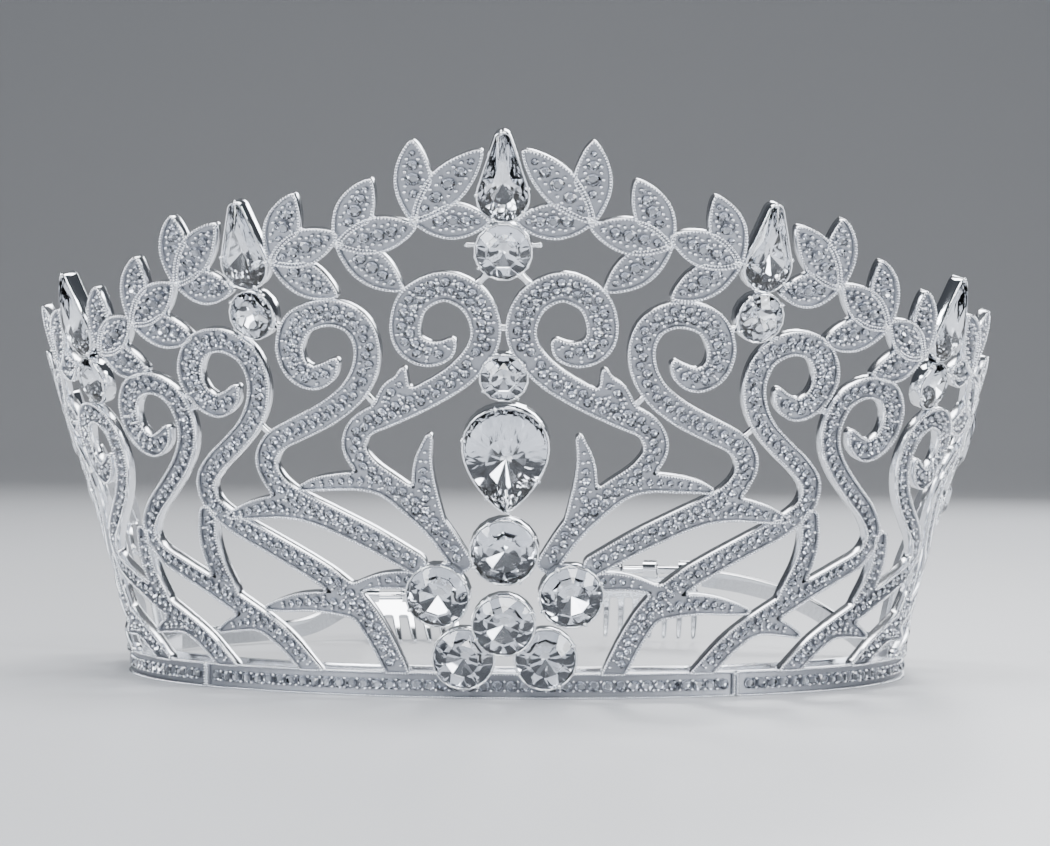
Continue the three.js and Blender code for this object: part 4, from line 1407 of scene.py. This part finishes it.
def make_stage():
    """A pale floor that curves up into a wall behind."""
    points, faces = [], []
    profile = [(-3.0, 0.0), (FLOOR_END, 0.0)]
    for k in range(1, 13):
        turn = math.pi / 2 * k / 12
        rise = COVE_RADIUS - COVE_RADIUS * math.cos(turn)
        profile.append((FLOOR_END + COVE_RADIUS * math.sin(turn), rise))
    profile.append((FLOOR_END + COVE_RADIUS, 4.0))
    for y, z in profile:
        points.extend([(-FLOOR_HALF, y, z), (FLOOR_HALF, y, z)])
    for i in range(len(profile) - 1):
        faces.append([2 * i, 2 * i + 1, 2 * i + 3, 2 * i + 2])
    mesh = bpy.data.meshes.new("studio_floor")
    mesh.from_pydata(points, [], faces)
    mesh.materials.append(floor_material())
    mesh.polygons.foreach_set("use_smooth", [True] * len(faces))
    floor = bpy.data.objects.new("studio_floor", mesh)
    bpy.context.scene.collection.objects.link(floor)


def make_light(name, place, target, size, power, colour):
    light = bpy.data.lights.new(name, "AREA")
    light.shape = "RECTANGLE"
    light.size, light.size_y = size
    light.energy = power
    light.color = colour
    lamp = bpy.data.objects.new(name, light)
    bpy.context.scene.collection.objects.link(lamp)
    lamp.location = place
    lamp.rotation_euler = (Vector(target) - Vector(place)).to_track_quat("-Z", "Y").to_euler()


def make_lights():
    aim = (0, -0.03, 0.045)
    make_light("softbox_left", (-0.62, -0.62, 0.42), aim, (0.28, 0.5), 9, (0.93, 0.96, 1.0))
    make_light("softbox_right", (0.7, -0.5, 0.36), aim, (0.2, 0.5), 7, (0.95, 0.97, 1.0))
    make_light("softbox_front", (0.1, -0.9, 0.62), aim, (0.5, 0.12), 5, (1.0, 1.0, 1.0))
    make_light("softbox_top", (0, 0.1, 1.0), aim, (0.8, 0.5), 14, (1.0, 1.0, 1.0))
    make_light("softbox_back", (0.3, 0.8, 0.45), aim, (0.6, 0.25), 6, (0.95, 0.97, 1.0))
    world = bpy.data.worlds.new("studio")
    world.use_nodes = True
    background = world.node_tree.nodes["Background"]
    background.inputs["Color"].default_value = (0.8, 0.87, 1.0, 1)
    background.inputs["Strength"].default_value = 0.08
    bpy.context.scene.world = world


# The camera's place is in metres and its lens in millimetres.
CAMERA_PLACE = Vector((0.0200, -0.6091, 0.050))
CAMERA_PAN = math.radians(-1.7556)
CAMERA_TILT = math.radians(-0.55)
CAMERA_ROLL = math.radians(0.376)
CAMERA_LENS = 118.07


def make_camera():
    data = bpy.data.cameras.new("camera")
    data.lens = CAMERA_LENS
    data.sensor_width = 36
    data.clip_start, data.clip_end = 0.01, 20
    camera = bpy.data.objects.new("camera", data)
    bpy.context.scene.collection.objects.link(camera)
    forward = Vector((
        math.sin(CAMERA_PAN) * math.cos(CAMERA_TILT),
        math.cos(CAMERA_PAN) * math.cos(CAMERA_TILT),
        math.sin(CAMERA_TILT),
    ))
    level = forward.cross(Vector((0, 0, 1))).normalized()
    upright = level.cross(forward)
    right = level * math.cos(CAMERA_ROLL) + upright * math.sin(CAMERA_ROLL)
    up = right.cross(forward)
    turn = Matrix((right, up, -forward)).transposed()
    camera.matrix_world = Matrix.Translation(CAMERA_PLACE) @ turn.to_4x4()
    bpy.context.scene.camera = camera


# ------------------------------------------------------------------ the scene

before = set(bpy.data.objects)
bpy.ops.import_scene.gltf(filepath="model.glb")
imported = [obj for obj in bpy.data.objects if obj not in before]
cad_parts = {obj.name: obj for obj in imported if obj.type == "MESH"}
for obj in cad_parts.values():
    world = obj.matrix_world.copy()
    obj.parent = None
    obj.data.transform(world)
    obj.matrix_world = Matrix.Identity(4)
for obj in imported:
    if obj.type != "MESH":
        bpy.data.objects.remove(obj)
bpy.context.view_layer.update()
make_camera()

pave_metal = plated_metal("pave_plating", (0.9, 0.92, 0.96), 0.12, 0.26, 5000.0, 0.25)
plain_metal = plated_metal("plain_plating", (0.92, 0.94, 0.97), 0.05, 0.14, 2500.0, 0.1)
small_crystal = crystal("small_crystal", (0.97, 0.985, 1.0), 0.03)
large_crystal = crystal("large_crystal", (0.98, 0.99, 1.0), 0.012)
mirror_foil = foil("stone_foil", (0.9, 0.92, 0.96))
# The small stones' foil is a darker copy of the large stones' foil: painted shade, so the pavé reads darker
# than the beaded rims.
painted_shade_small_foil = foil("shaded_small_stone_foil", (0.68, 0.7, 0.75))
back_metal = cast_back("cast_back", (0.8, 0.82, 0.86))
# A darker copy of the plating for the channel floors and the inner rim walls: painted shade in the recesses
# between the small stones.
painted_shade_channel_metal = plated_metal("painted_shade_channel", (0.36, 0.375, 0.41), 0.3, 0.5, 3500.0, 0.4)

casting_metals = [pave_metal, painted_shade_channel_metal, back_metal]
make_castings(casting_metals, [small_crystal, painted_shade_small_foil])
for make in (make_drops, make_column, make_cluster):
    make([plain_metal, back_metal], [large_crystal, mirror_foil])
make_bridges(plain_metal)
make_band(casting_metals, [small_crystal, painted_shade_small_foil])
for side in ("right", "left"):
    make_arm(side, plain_metal)
    make_comb(side, plain_metal)

make_stage()
make_lights()
